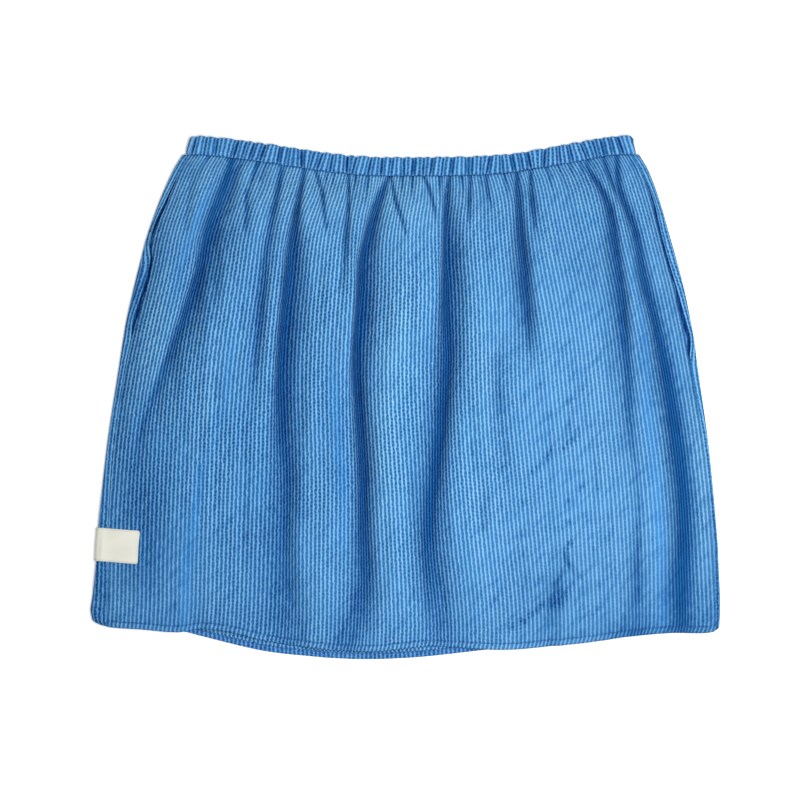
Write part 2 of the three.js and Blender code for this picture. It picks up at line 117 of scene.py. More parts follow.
# Valleys of the front that run down from the gathers, each through its points: across, down, how
# deep, and how wide the slope on its left and on its right is.
FOLDS = {
    "pocket_side": ((-162, 22, 0.4, 4, 5), (-168, 60, 1.2, 5, 7), (-178, 110, 0, 5, 8)),
    "left_side": (
        (-134, 22, 6, 5, 8), (-141, 45, 9.4, 7, 11), (-149, 66, 10.5, 5.5, 12),
        (-158.5, 104, 10.5, 2.6, 12), (-168.5, 135, 9.5, 2.4, 11), (-185.5, 181, 7.5, 2.2, 12),
        (-201, 223, 4, 3, 12), (-212, 262, 0, 4, 12),
    ),
    "left_second": ((-123, 36, 0, 3, 3), (-122, 58, 2.2, 3, 4), (-124, 85, 0, 3, 4)),
    "left_fine": (
        (-96, 24, 2.0, 3, 3), (-99, 45, 4.0, 3, 4), (-106, 84, 4.5, 4, 4), (-109, 112, 5.5, 4, 4),
        (-113, 150, 4.5, 4, 4), (-117, 190, 2.2, 5, 5), (-121, 240, 0, 6, 6),
    ),
    "left_deep": (
        (-78, 26, 2.8, 2, 2.6), (-84, 58, 7.4, 2, 3.4), (-89.5, 100, 11, 2.4, 8.5),
        (-94.5, 150, 11.5, 2.4, 12), (-96.5, 190, 11, 2.8, 12), (-95, 228, 10, 6, 11),
        (-92, 266, 8.8, 11, 9), (-94, 312, 8.2, 16, 8), (-92, 358, 7, 18, 9), (-90, 392, 5.4, 18, 10),
    ),
    "left_short": (
        (-69.5, 28, 2.8, 1.5, 1.8), (-64.5, 46, 3.2, 1.6, 2.2), (-62.5, 62, 2.2, 2, 2.6),
        (-61, 82, 0, 3, 4),
    ),
    "middle_short": (
        (-44.3, 29, 3.8, 1.2, 1.3), (-44.2, 52, 3.6, 1.2, 1.5), (-46, 80, 3.2, 1.6, 2.2),
        (-47, 104, 1.6, 2.4, 3), (-47, 126, 0, 4, 4),
    ),
    "centre_lean": (
        (13, 30, 2.6, 1.5, 1.7), (18.5, 45, 2.6, 1.6, 2), (22, 60, 1.6, 2, 2.4), (24, 75, 0, 3, 3),
    ),
    "middle": (
        (-12.5, 30, 3, 2, 2.6), (-19.5, 45, 7.4, 3, 4.6), (-25, 62, 9.4, 3, 5.4), (-30, 80, 10.6, 2, 6.4),
        (-34, 97, 11.6, 1.6, 7.4), (-36, 130, 12.5, 1.6, 9), (-39, 175, 12.5, 1.8, 7.5),
        (-35.5, 220, 12, 3, 5.4), (-33, 266, 11.5, 4, 5.4), (-33, 310, 10.4, 5.4, 5.6),
        (-32, 345, 9.4, 8, 7), (-36, 372, 8.4, 11, 8), (-44, 396, 7, 13, 10),
    ),
    "centre_first": (
        (-11.7, 31, 2.2, 1.4, 1.6), (-8.3, 51, 2.8, 1.6, 2), (-1.5, 72, 1.8, 2, 2.4), (3, 90, 0, 3, 3),
    ),
    "centre": (
        (33, 32, 4, 1.4, 3), (30.8, 50, 7, 1.5, 6), (30.5, 70, 9, 1.6, 8.4), (30.5, 96, 10.8, 1.8, 10),
        (30.5, 130, 11.5, 3.4, 9.5), (32, 170, 11, 8, 6.4), (28, 215, 11.5, 8.5, 5.6),
        (22, 262, 11.5, 8.5, 6.4), (17.5, 300, 11, 7.4, 8.4), (17.5, 330, 9.6, 7, 10.5),
        (24, 362, 7.4, 10, 11), (32, 394, 5, 11, 11),
    ),
    "centre_side": (
        (49.3, 30, 3.4, 1.5, 1.8), (48.5, 47, 3.4, 1.8, 2), (48, 62, 2, 2.2, 2.6), (48, 82, 0, 4, 4),
    ),
    "right_first": (
        (61.6, 31, 2.8, 1.6, 1.8), (62.4, 42, 2.2, 1.8, 2), (65, 54, 0.9, 2, 2.4), (67, 66, 0, 3, 4),
    ),
    "right_short": (
        (84.7, 29, 3.6, 1.8, 2.4), (86, 47, 5.6, 2.4, 3), (87.8, 75, 8.6, 4, 3.4), (90, 97, 9.5, 5.4, 3.5),
        (91, 115, 9.5, 6, 4), (93, 140, 7.4, 7, 4.2), (94, 165, 3.4, 8, 4.5), (95, 188, 0, 8, 5),
    ),
    "right_long": (
        (75, 138, 0, 6, 6), (73, 165, 2.4, 6, 6), (71, 195, 2.6, 6, 7), (68, 235, 1.2, 6, 8),
        (66, 265, 0, 6, 8),
    ),
    "right_low": ((131, 312, 0, 7, 7), (119, 338, 3.2, 7, 8), (113, 358, 4.4, 8, 8), (107, 380, 2.5, 8, 8)),
    "left_between": (
        (-49, 180, 0, 7, 6), (-48, 215, 2.0, 8, 6), (-51, 260, 1.6, 8, 6), (-52, 300, 0, 8, 8),
    ),
    "right_second": (
        (95.5, 28, 3.6, 1.8, 2.2), (96.3, 50, 4.5, 2.4, 3), (98, 66, 3, 3, 4), (99, 84, 0, 3, 4),
    ),
    "right_between": (
        (151.7, 18, 3, 2, 2.5), (154, 26, 4, 2, 3), (159, 40, 3.4, 2.4, 3), (164, 56, 0, 3, 3),
    ),
    "right_fine": (
        (139.5, 25, 3, 3, 2.4), (146, 36, 4.6, 3.6, 2.8), (152.5, 47, 6, 4.4, 3), (157, 60, 7.4, 6, 3),
        (160.5, 82, 8.8, 8, 3), (163, 104, 9.2, 9, 3), (167, 145, 8.6, 9, 3), (170, 190, 6.2, 8, 4),
        (173, 230, 3.8, 7, 5), (177, 270, 2.6, 6, 5), (178, 310, 2.6, 6, 5), (178, 350, 4.4, 8, 6),
        (178, 384, 7, 11, 10),
    ),
    "right_side": (
        (162, 18, 4.4, 2.6, 3), (164, 42, 6.4, 3.4, 4), (176, 74, 8, 5, 4), (183, 112, 9.5, 5, 4.5),
        (192, 146, 10.5, 5, 6), (201.5, 190, 12, 8, 6), (207.5, 228, 12.5, 8, 7), (212.5, 268, 13, 7.5, 7),
        (214, 312, 13, 7.5, 7.5), (212, 352, 12.5, 10, 8.5), (212, 384, 10, 11, 9),
    ),
}
FOLD_SCALE = 1.3  # a valley's depth in the puffed cloth, for each millimetre in the table
FOLD_SPREAD = 1.35  # its half width, for each millimetre in the table
FOLD_POWER = 1.5  # 1 is a sharp crease, 2 a round trough
CREASE_ROUND = 0.35  # how round a small crease's bottom is
CREASE_SHIFT = 0.8  # how far a fold's crease lies towards its steep side, of that side's width
HIDDEN_SHARE, HIDDEN_WIDTH = 0.6, 1.3  # of a valley's depth, the cloth gone in it, and how narrowly
CREASE_BOW = 0.07  # of a slanting crease's length
SLOPE_SHARE = 0.55  # of the height of a slope, what its cloth is counted for
NARROW_AT_TOP = 0.4  # how narrow the valleys start under the band
# How strongly painted shade darkens the cloth's colour at most in a valley, where cloth goes out of
# sight, in a crease (and under the band), in a gather, in a slanting crease, and at the seam under the band.
VALLEY_DARK, HIDDEN_DARK, CREASE_DARK, CREASE_TOP_DARK = 0.95, 0.5, 0.5, 0.68
GATHER_DARK, SLANT_DARK, SEAM_DARK = 0.85, 0.16, 0.5

# Small gathers under the waistband that fan out with the stripes: across at the seam, how far they
# run, how deep, how wide.
GATHER_SCALE = 1.4
GATHERS = (
    (-150, 20, 1.2, 1.8), (-124, 24, 1.3, 1.8), (-110, 22, 2.2, 1.6), (-104, 18, 1.1, 1.8),
    (-89, 18, 1.2, 1.8), (-57, 18, 1.2, 1.6), (-52, 14, 0.9, 1.5), (-36, 16, 1.2, 1.6), (-27, 18, 1.3, 1.8),
    (-2, 18, 1.1, 1.8), (5, 16, 1.2, 1.6), (25, 16, 1.2, 1.7), (41, 16, 1.2, 1.7), (54, 15, 1.0, 1.6),
    (72, 18, 1.2, 1.7), (77, 14, 0.9, 1.5), (104, 18, 1.2, 1.7), (113, 14, 0.9, 1.7), (122, 14, 0.9, 1.7),
    (130, 16, 1.0, 1.8), (169, 18, 1.1, 1.6),
)

# Short slanting creases: where each starts and ends (across, down, across, down), how deep, how wide.
CREASES = (
    (94, 261, 111, 241, 1.0, 1.5), (115.5, 243.5, 133, 226.5, 1.0, 1.3), (81.5, 307.5, 138, 290.5, 0.5, 2.0),
    (128, 310.5, 121, 323, 1.3, 1.6), (121, 323, 131, 337.5, 0.9, 1.8), (114, 364, 121, 350, 1.5, 3.4),
    (78.5, 379, 103, 362, 1.2, 1.8), (103, 362, 131, 342, 0.9, 1.8), (222, 278, 232, 307, 0.8, 1.5),
    (99, 225, 112, 212, 0.5, 1.6), (84, 286, 104, 268, 0.5, 1.6), (118, 286, 139, 262, 0.5, 1.5),
    (70, 335, 92, 318, 0.5, 1.8), (92, 348, 113, 328, 0.5, 1.6), (60, 362, 82, 344, 0.5, 1.8),
    (137, 322, 158, 304, 0.5, 1.6), (144, 348, 162, 330, 0.5, 1.5), (66, 262, 84, 243, 0.5, 1.6),
    (134, 372, 152, 358, 0.6, 1.5), (88, 204, 104, 190, 0.4, 1.6), (120, 208, 140, 186, 0.4, 1.5),
    (-220, 262, -201, 246, 0.7, 1.6), (-216, 286, -196, 270, 0.6, 1.8), (-206, 304, -190, 292, 0.5, 1.8),
    (-150, 306, -130, 290, 0.4, 1.8), (-186, 160, -176, 146, 0.6, 1.5), (-196, 132, -184, 118, 0.6, 1.4),
    (-160, 196, -148, 180, 0.4, 1.6), (-136, 358, -118, 340, 0.4, 1.8), (-62, 330, -50, 316, 0.4, 1.8),
    (186, 262, 196, 250, 0.5, 1.4), (220, 334, 231, 320, 0.6, 1.5), (222, 356, 233, 344, 0.6, 1.5),
)

# Slopes on which the stripes close up into one clear blue, each through its points: across, down, how
# wide, how strong.
CLEAR_BANDS = (
    ((-131, 140, 4, 0), (-136, 176, 5, 0.5), (-139, 204, 5, 0.6), (-147, 235, 5, 0.7), (-156, 260, 5, 0.8),
     (-160, 287, 5, 0.8), (-165, 315, 5, 0.8), (-169, 346, 5, 0.8), (-170, 372, 6, 0.5)),
    ((-143, 24, 3, 0.2), (-153, 50, 4, 0.8), (-164, 77, 4, 0.7), (-171, 96, 4, 0.7), (-176, 121, 4, 0.6),
     (-186, 147, 4, 0.3)),
    ((171, 82, 3, 0.2), (178, 126, 3, 0.6), (183, 160, 3, 0.7), (185, 200, 3, 0.6), (186, 222, 4, 0.6),
     (191, 261, 4, 0.6), (195, 307, 4.5, 0.7), (197, 347, 5, 0.7), (197, 378, 5, 0.5)),
    ((-57, 150, 3, 0), (-55, 190, 4, 0.5), (-51, 243, 4, 0.6), (-48, 290, 4, 0.4), (-48, 340, 4, 0)),
)

# Patches of painted light, where the stripes' colour is made paler: across, down, reach across, reach down,
# how much.
PAINTED_LIGHT_PATCHES = (
    (-2, 165, 16, 85, 1.0), (-16, 240, 10, 75, 0.8), (-190, 165, 13, 52, 1.0), (150, 215, 20, 60, 0.3),
    (-150, 195, 16, 80, 0.5), (57, 180, 12, 70, 0.8),
    (229, 225, 11, 95, 1.0), (-85, 40, 80, 26, 0.7), (5, 48, 60, 30, 0.6), (126, 40, 16, 18, 0.4),
    (62, 280, 30, 60, 0.25), (-60, 120, 20, 50, 0.3),
)

# Broad patches of painted shade, where the cloth's colour is made darker: across, down, reach across, reach
# down, how much.
PAINTED_SHADE_PATCHES = (
    (-206, 275, 26, 78, 0.42), (-238, 330, 9, 90, 0.4), (-234, 352, 10, 34, 0.16),
    (-211, 130, 8, 45, 0.26), (-224, 188, 9, 34, 0.22), (-205, 334, 14, 24, 0.15),
    (-150, 250, 60, 150, 0.1), (0, 10, 400, 62, 0.06), (-190, 320, 16, 50, 0.16),
    (88, 335, 14, 50, 0.12), (178, 384, 50, 14, 0.16), (-190, 374, 50, 9, 0.16),
    (-170, 24, 7, 12, 0.24), (-192, 85, 9, 26, 0.34), (-206, 115, 7, 26, 0.4), (-156, 146, 8, 42, 0.13),
    (-174, 188, 8, 25, 0.12), (134, 108, 12, 30, 0.13), (181, 160, 7, 28, 0.15),
    (228, 376, 13, 28, 0.26), (175, 388, 30, 10, 0.16), (120, 98, 16, 40, 0.1), (76, 232, 12, 30, 0.12),
    (-115, 372, 45, 12, 0.16), (20, 378, 40, 10, 0.12), (130, 382, 60, 7, 0.1),
    (150, 230, 80, 110, 0.08), (-190, 330, 60, 60, 0.05), (-120, 90, 70, 90, 0.03),
    (238, 330, 6, 70, 0.28), (150, 20, 16, 26, 0.25), (-48, 230, 12, 70, 0.12),
    (-122, 330, 30, 60, 0.06), (120, 360, 60, 30, 0.12),
)

# Broad swells (and, below nought, hollows): across, down, reach across, reach down, height.
SWELLS = ((-205, 300, 30, 70, -3.0), (60, 260, 30, 90, 1.0), (5, 150, 14, 60, 1.5))
RIPPLE, SWELL, CRINKLE = 0.42, 0.8, 0.13  # heights of the small unevenness all over

# The back's folds, from the waist to the hem: where across, how high, how wide.
BACK_FOLDS = (
    ((-34, -42, -50, -58, -62), (0.6, 2.4, 2, 1.4, 1), 14),
    ((4, -6, -10, -6, 4), (0.6, 2.6, 2.6, 1.8, 1), 15),
    ((44, 50, 60, 72, 82), (0.6, 2.2, 2.4, 1.6, 1), 14),
)

# ---- Meshes ----
FRONT_ROWS, FRONT_COLUMNS = 150, 520
FRONT_CLOTH, BACK_CLOTH = 506.0, 526.0  # width of each panel, pulled flat
FRONT_WALL, BAG_WALL = 0.8, 0.9
# Both amounts are painted shadow in the cloth's colour.
HEM_SHADE, POCKET_SHADE = 0.16, 0.92  # how deep in shadow the back hem's turn and the pockets lie
FRONT_DROP = 366.0  # from the seam under the band to the front hem
HEM_ROWS = (7.0, 6.0, 5.3, 4.8, 4.3, 3.4, 2.2, 1.0, 0.0)  # rows of points above the front hem
HEM_SLANT = 1.7  # how far the turned hem drags the stripes sideways
EDGE_ROWS = 28  # over so many rows the stripes run straight past the wavering pocket edges
BACK_ROWS, BACK_TURNED, BACK_ROUND, BACK_UNDER = 120, 8, 10, 262
TURN_ROWS, TURN_COLUMNS = 5, 441
TURN_INSET, TURN_BOTTOM = 0.004, 0.9995  # shares of the way across and down where the front's turn ends
BAG_ROWS, BAG_COLUMNS = 41, 25
TURN_WEAVE, BAG_WEAVE = 250.0, 300.0  # where across the cloth these pieces are cut
STITCH_LENGTH, STITCH_STEP, STITCH_THICK = 2.1, 2.9, 0.42
WAIST_STITCH_TOP, WAIST_STITCH_LOW = 6.6, 0.35  # heights on the front (at most) and on the back
HEM_STITCH_SUNK = 0.36
BACK_STITCHES = 218.0  # how far to each side the back hem's row runs
BAND_FRONT, BAND_TURN = 800, 20
BAND_PUCKER = 7.5
BAND_EASE = 1.12  # millimetres of cloth for each millimetre of gathered band
# Creases of the band's front: across at its upper edge, across at its seam, and how deep.
BAND_CREASES = (
    (-161, -161, 0.6), (-153, -152, 0.3), (-145, -144, 0.6), (-129, -130, 1), (-122, -123.5, 0.4),
    (-116, -118, 0.6), (-107.5, -110, 0.7), (-96, -96, 0.9), (-90, -91, 0.3), (-80, -78, 1), (-71, -73, 0.3),
    (-64, -67.5, 0.7), (-56, -57.5, 0.4), (-45, -44.5, 1), (-38, -41, 0.6), (-26.5, -29, 0.6),
    (-18, -18.7, 0.8), (-10.5, -12.3, 0.5), (-2, -2, 0.5), (6.3, 5, 1), (14, 13, 0.3), (21, 18.5, 0.8),
    (29, 27, 0.3), (36.4, 34, 1), (46.7, 46.5, 0.6), (50.5, 49.5, 0.6), (58, 56.5, 0.3), (65.3, 61.5, 1),
    (73, 73, 0.3), (80.5, 82.5, 1), (87, 88.5, 0.4), (93, 95, 1), (107, 104.5, 0.8), (117, 117, 0.4),
    (124.5, 126.3, 0.6), (134, 138, 0.6), (143, 145.5, 0.3), (149.5, 151.3, 0.9), (156, 157.7, 0.6),
    (162, 165, 0.8),
)
# How the band's wall is shaped round: share of its depth, and how far out of its middle it is.
BAND_SECTION = (
    (0.035, 0.55), (0.08, 0.82), (0.15, 0.95), (0.25, 1), (0.37, 1), (0.5, 1), (0.63, 1), (0.75, 0.98),
    (0.85, 0.9), (0.92, 0.72), (0.97, 0.45), (1, 0.1), (1, -0.4), (0.97, -0.85), (0.86, -1), (0.6, -1),
    (0.35, -1), (0.12, -0.95), (0.03, -0.7), (0, -0.2), (0.005, 0.2),
)

# ---- Colours and grain ----
# The third blue of each set is the dark stripes' painted shade in their pucker hollows.
LIGHT_BLUE, DARK_BLUE, PUCKER_SHADE_BLUE = (0.222, 0.485, 0.775), (0.032, 0.190, 0.455), (0.009, 0.098, 0.30)
# These blues are darker than the outside's: painted shade for the hems' turned insides.
SHADED_INSIDE_BLUES = (0.15, 0.38, 0.72), (0.035, 0.165, 0.42), (0.014, 0.09, 0.30)
# These blues are darker still: painted shade for the pocket bags seen in the slits.
SHADED_BAG_BLUES = (0.05, 0.25, 0.62), (0.03, 0.16, 0.48), (0.015, 0.11, 0.36)
CLEAR_BLUE = (0.048, 0.29, 0.74)
# The gain by which painted light makes the stripes paler.
PAINTED_LIGHT_GAIN = (1.28, 1.14, 1.04)
# The pebble tint is painted shade in the light stripes' small hollows.
PEBBLE_SHADE_TINT, MOTTLE_TINT, STREAK_TINT = (0.50, 0.72, 0.86), (0.62, 0.74, 0.84), (0.50, 0.70, 0.82)
# The crinkle tint is painted shade in the crinkles' hollows, and the last two are painted shade in the folds.
CRINKLE_SHADE_TINT, PAINTED_FOLD_STRIPE_SHADE_TINT, PAINTED_FOLD_SHADE_TINT = (0.25, 0.56, 0.74), (0.15, 0.52, 0.66), (0.020, 0.275, 0.49)
SHEEN_TINT = (0.45, 0.72, 1.0, 1.0)
TAPE_PALE, TAPE_SOILED = (0.80, 0.80, 0.73), (0.70, 0.70, 0.62)
# The groove tint is a thin line of painted shade at the label's selvedge.
GROOVE_SHADE_TINT, GRAIN_TINT = (0.78, 0.78, 0.72), (0.80, 0.80, 0.76)
THREAD_DARK, THREAD_LIGHT = (0.008, 0.055, 0.20), (0.020, 0.10, 0.31)
STRIPE_PITCH, PUCKER_PITCH = 3.25, 2.9
SLOW_WAVER, QUICK_WAVER = 0.5, 1.7  # how far the stripes waver
PUCKER_DRIFT, PUCKER_DRIFTS = 1.6, 90.0  # how many puckers they drift by, and how often in a metre
LIGHT_EDGE, DOT_EDGE = (-0.42, 0.8), (-0.5, 0.8)  # between these values of the wave each sets in
# The folds' shade is painted into the cloth's colour.
FOLD_RAGGED = 3.2  # how ragged the edges of the folds' shade are
CLOTH_RELIEF, FINE_RELIEF = 0.7, 0.1
TAPE_WARP, TAPE_WEFT = 0.6, 0.5
THREAD_FIBRES = 2600.0  # in a metre
LABEL_SELVEDGE = LABEL_HEIGHT / 2 - 1.1  # from the tape's middle
# Unevenness of the cloth: how many to a metre across and along, how fine, and between which levels
# it sets in.
CLOTH_NOISES = {
    "slow": (70.0, 120.0, 1.0, None, None),
    "quick": (300.0, 330.0, 1.0, None, None),
    "patchy": (28.0, 20.0, 2.0, 0.30, 0.62),
    "pebble": (520.0, 460.0, 1.0, 0.38, 0.64),
    "mottle": (9.0, 9.0, 3.0, None, None),
    "streak": (95.0, 7.0, 2.0, 0.42, 0.72),
    "crinkle": (150.0, 34.0, 3.0, 0.46, 0.70),
    "ragged": (420.0, 190.0, 2.0, None, None),
    "grain": (2600.0, 1800.0, 1.0, None, None),
}


# ---- Helpers ----
def mix(a, b, share):
    return a + (b - a) * share


def ease(share):
    s = np.clip(share, 0, 1)
    return s * s * (3 - 2 * s)


def curve_through(xs, ys):
    """A smooth curve through the points, held level past both ends."""
    xs, ys = np.asarray(xs, float), np.asarray(ys, float)
    slopes = np.empty(len(ys))
    slopes[1:-1] = (ys[2:] - ys[:-2]) / (xs[2:] - xs[:-2])
    slopes[0] = (ys[1] - ys[0]) / (xs[1] - xs[0])
    slopes[-1] = (ys[-1] - ys[-2]) / (xs[-1] - xs[-2])

    def at(x):
        x = np.clip(x, xs[0], xs[-1])
        i = np.clip(np.searchsorted(xs, x, side="right") - 1, 0, len(xs) - 2)
        step = xs[i + 1] - xs[i]
        s = (x - xs[i]) / step
        start = ys[i] * (1 + 2 * s) * (1 - s) ** 2 + slopes[i] * step * s * (1 - s) ** 2
        return start + ys[i + 1] * s * s * (3 - 2 * s) - slopes[i + 1] * step * s * s * (1 - s)

    return at


def column_curves(table):
    columns = list(zip(*table))
    return [curve_through(columns[0], column) for column in columns[1:]]


def soft_max(a, b, reach):
    return b + reach * np.logaddexp(0, (a - b) / reach)


side_left, side_right, left_seam, left_gape, right_seam, right_gape = column_curves(SIDES)
(waist_down,) = column_curves(WAIST)
hem_front, hem_back = column_curves(HEM)
puff_height, puff_rise = column_curves(PUFF)
folds = [column_curves([(p[1], p[0], p[2], p[3], p[4]) for p in points]) for points in FOLDS.values()]


def seam_down(across):
    """How far down the panels start under the band."""
    return waist_down(across) + BAND_DEPTH + SEAM_GAP


def to_y(down):
    return SKIRT_LENGTH / 2 - down


def share_down(across, down, hem=hem_front):
    return np.clip((down - seam_down(across)) / (hem(across) - seam_down(across)), 0, 1)


def panel_ends(share, hem):
    """The outline's left and right ends of the rows at these shares of the way down."""
    left_guess = side_left(mix(SIDE_TOP, SIDE_END_LEFT, share))
    right_guess = side_right(mix(SIDE_TOP, SIDE_END_RIGHT, share))
    left_down = mix(seam_down(left_guess), hem(left_guess), share)
    right_down = mix(seam_down(right_guess), hem(right_guess), share)
    return left_down, right_down


def waves(seed, count, shortest, longest, slant):
    """Soft uneven undulation, mostly across the cloth, between about -1 and 1."""
    draw = np.random.default_rng(seed)
    turn = draw.normal(0, slant, count)
    pitch = draw.uniform(shortest, longest, count)
    start = draw.uniform(0, 2 * math.pi, count)

    def at(across, down):
        total = np.zeros(np.shape(across))
        for k in range(count):
            along = across * math.cos(turn[k]) + down * math.sin(turn[k])
            total += np.cos(2 * math.pi * along / pitch[k] + start[k])
        return total / math.sqrt(count)

    return at


# ---- The front's relief ----
ripple = waves(11, 14, 9, 22, 0.10)
swell = waves(12, 12, 45, 110, 0.8)
crinkle = waves(13, 26, 7, 18, 0.9)


def valley(distance, left_width, right_width):
    """A valley 1 deep before scaling, its slopes of different widths."""
    width = np.where(distance < 0, left_width, right_width) * FOLD_SPREAD
    return FOLD_SCALE * np.exp(-((np.abs(distance) / width) ** FOLD_POWER))


def crease(distance, width):
    """A crease 1 deep, sharp at the bottom."""
    return np.exp(CREASE_ROUND - np.hypot(distance / width, CREASE_ROUND))


def main_folds(across, down):
    relief = np.zeros(np.shape(across))
    spread = mix(NARROW_AT_TOP, 1, ease((down - 18) / 75))
    for path, deep, left_width, right_width in folds:
        left, right = spread * left_width(down), spread * right_width(down)
        relief += deep(down) * valley(across - path(down), left, right)
    return relief


def slanting_creases(across, down):
    total = np.zeros(np.shape(across))
    for start_across, start_down, end_across, end_down, deep, wide in CREASES:
        length = math.hypot(end_across - start_across, end_down - start_down)
        along_across, along_down = (end_across - start_across) / length, (end_down - start_down) / length
        away_across, away_down = across - start_across, down - start_down
        along = (away_across * along_across + away_down * along_down) / length
        bow = CREASE_BOW * length * (1 - (2 * along - 1) ** 2)
        away = away_down * along_across - away_across * along_down - bow
        total += deep * np.exp(-((away / wide) ** 2)) * np.exp(-((2 * along - 1) ** 4))
    return total


def patches(table, across, down):
    """The sum of a table's round patches at each point."""
    total = np.zeros(np.shape(across))
    for at_across, at_down, reach_across, reach_down, amount in table:
        away = ((across - at_across) / reach_across) ** 2 + ((down - at_down) / reach_down) ** 2
        total += amount * np.exp(-away)
    return total


def stripes_clear_and_painted_light(across, down):
    """Above nought where the stripes close up, below nought where painted light makes them paler."""
    total = np.zeros(np.shape(across))
    for points in CLEAR_BANDS:
        path, wide, strong = column_curves([(p[1], p[0], p[2], p[3]) for p in points])
        inside = (down > points[0][1] - 2) & (down < points[-1][1] + 14)
        total += inside * strong(down) * np.exp(-(((across - path(down)) / wide(down)) ** 2))
    return np.clip(total, 0, 1) - np.clip(patches(PAINTED_LIGHT_PATCHES, across, down), 0, 1)


def cloth_hidden(across, down):
    """Millimetres of cloth that go out of sight in the folds for each millimetre across."""
    total = np.zeros(np.shape(across))
    for path, deep, left_width, right_width in folds:
        left, right = left_width(down), right_width(down)
        narrow = np.minimum(left, right)
        crease_at = path(down) - CREASE_SHIFT * narrow * (right - left) / (right + left)
        width = np.maximum(HIDDEN_WIDTH, CREASE_SHIFT * narrow)
        away = (across - crease_at) / width
        total += HIDDEN_SHARE * deep(down) * np.exp(-(away**2)) / (width * math.sqrt(math.pi))
    return total


def gathers_under_band(across, down, spread=1.0):
    """The small gathers, which widen and fade on their way down and fan out with the cloth."""
    seam_left = side_left(SIDE_TOP) + left_seam(SIDE_TOP)
    seam_right = side_right(SIDE_TOP) - right_seam(SIDE_TOP)
    left = side_left(down) + left_seam(down)
    right = side_right(down) - right_seam(down)
    stretch = (right - left) / (seam_right - seam_left)
    at_seam = seam_left + (across - left) / stretch
    below = down - seam_down(across)
    total = np.zeros(np.shape(across))
    for start, reach, deep, wide in GATHERS:
        distance = (at_seam - start) * stretch
        width = wide * spread * (1 + below / reach)
        fade = np.exp(-((below / reach) ** 2))
        total += GATHER_SCALE * deep * fade * crease(distance, width)
    return total


def cloth_lift(across, down):
    """How far the layers are raised by the back's folds, and by the label wrapped under them."""
    along = 1 - ease((np.abs(down - LABEL_DOWN) - LABEL_CLEAR) / LABEL_FADE)
    inward = 1 - ease((across - side_left(down) - LABEL_REACH - REST_MARGIN) / LABEL_FADE)
    return back_hollows(across, down) + LAYER_STEP * along * inward


def back_hollows(across, down):
    share = share_down(across, down, hem_back)
    raised = np.zeros(np.shape(across))
    for path, lift, wide in BACK_FOLDS:
        away = (across - curve_through(SHARES, path)(share)) / wide
        raised += curve_through(SHARES, lift)(share) * np.maximum(0, 1 - away * away) ** 2
    return raised


def valley_floor(down, share, from_side):
    """The least height of the front, on the pocket bags, the turned sides and the hems."""
    past_bag = ease((from_side - POCKET_REACH - REST_MARGIN) / REST_MARGIN)
    below_bag = ease((down - POCKET_BOTTOM - SEAM_GAP) / (2 * REST_MARGIN))
    above_hem = 1 - ease((share - HEM_REST[0]) / (HEM_REST[1] - HEM_REST[0]))
    near_turn = ease(from_side / REST_MARGIN)
    return mix(EDGE_HEIGHT, VALLEY_HEIGHT, np.maximum(past_bag, below_bag) * above_hem * near_turn)


def front_height(across, down, small=1.0):
    share = share_down(across, down)
    from_left = np.maximum(across - side_left(down) - left_seam(down), 0)
    from_right = np.maximum(side_right(down) - right_seam(down) - across, 0)
    near = puff_rise(share)
    rise = (1 - np.exp(-from_left / near)) * (1 - np.exp(-from_right / near))
    height = mix(EDGE_HEIGHT, puff_height(share), rise)
    relief = main_folds(across, down) + gathers_under_band(across, down) + slanting_creases(across, down)
    relief -= patches(SWELLS, across, down)
    unevenness = RIPPLE * ripple(across, down) + SWELL * swell(across, down) + CRINKLE * crinkle(across, down)
    height = height - (relief - small * unevenness) * rise
    from_side = np.minimum(from_left, from_right)
    return soft_max(height, valley_floor(down, share, from_side), 0.5) + cloth_lift(across, down)


# ---- Mesh building ----
class Patch:
    """Faces of one size: their corners, the cloth coordinates there, and whether they are smooth."""

    def __init__(self, corners, weave, smooth=True):
        self.corners, self.weave, self.smooth = corners, weave, smooth


def take(grid, *corners):
    return np.stack([grid[c] for c in corners], axis=-1 if grid.ndim == 2 else -2)


def grid_patch(index, weave, turned=False):
    """Four-sided faces between the rows and columns of a grid of point numbers."""
    here, below, far, right = np.s_[:-1, :-1], np.s_[1:, :-1], np.s_[1:, 1:], np.s_[:-1, 1:]
    order = (here, right, far, below) if turned else (here, below, far, right)
    return Patch(take(index, *order).reshape(-1, 4), take(weave, *order).reshape(-1, 4, 2))


def rim_patch(fine, coarse, fine_weave, coarse_weave):
    """Faces that join a fine edge to one with half as many points."""
    five = lambda near, far: [far[:-1], far[1:], near[2::2], near[1::2], near[:-1:2]]
    return Patch(np.stack(five(fine, coarse), -1), np.stack(five(fine_weave, coarse_weave), -2), smooth=False)


def plain_rim(first, second, weave):
    four = lambda near, far: [near[:-1], near[1:], far[1:], far[:-1]]
    return Patch(np.stack(four(first, second), -1), np.stack(four(weave, weave), -2), smooth=False)


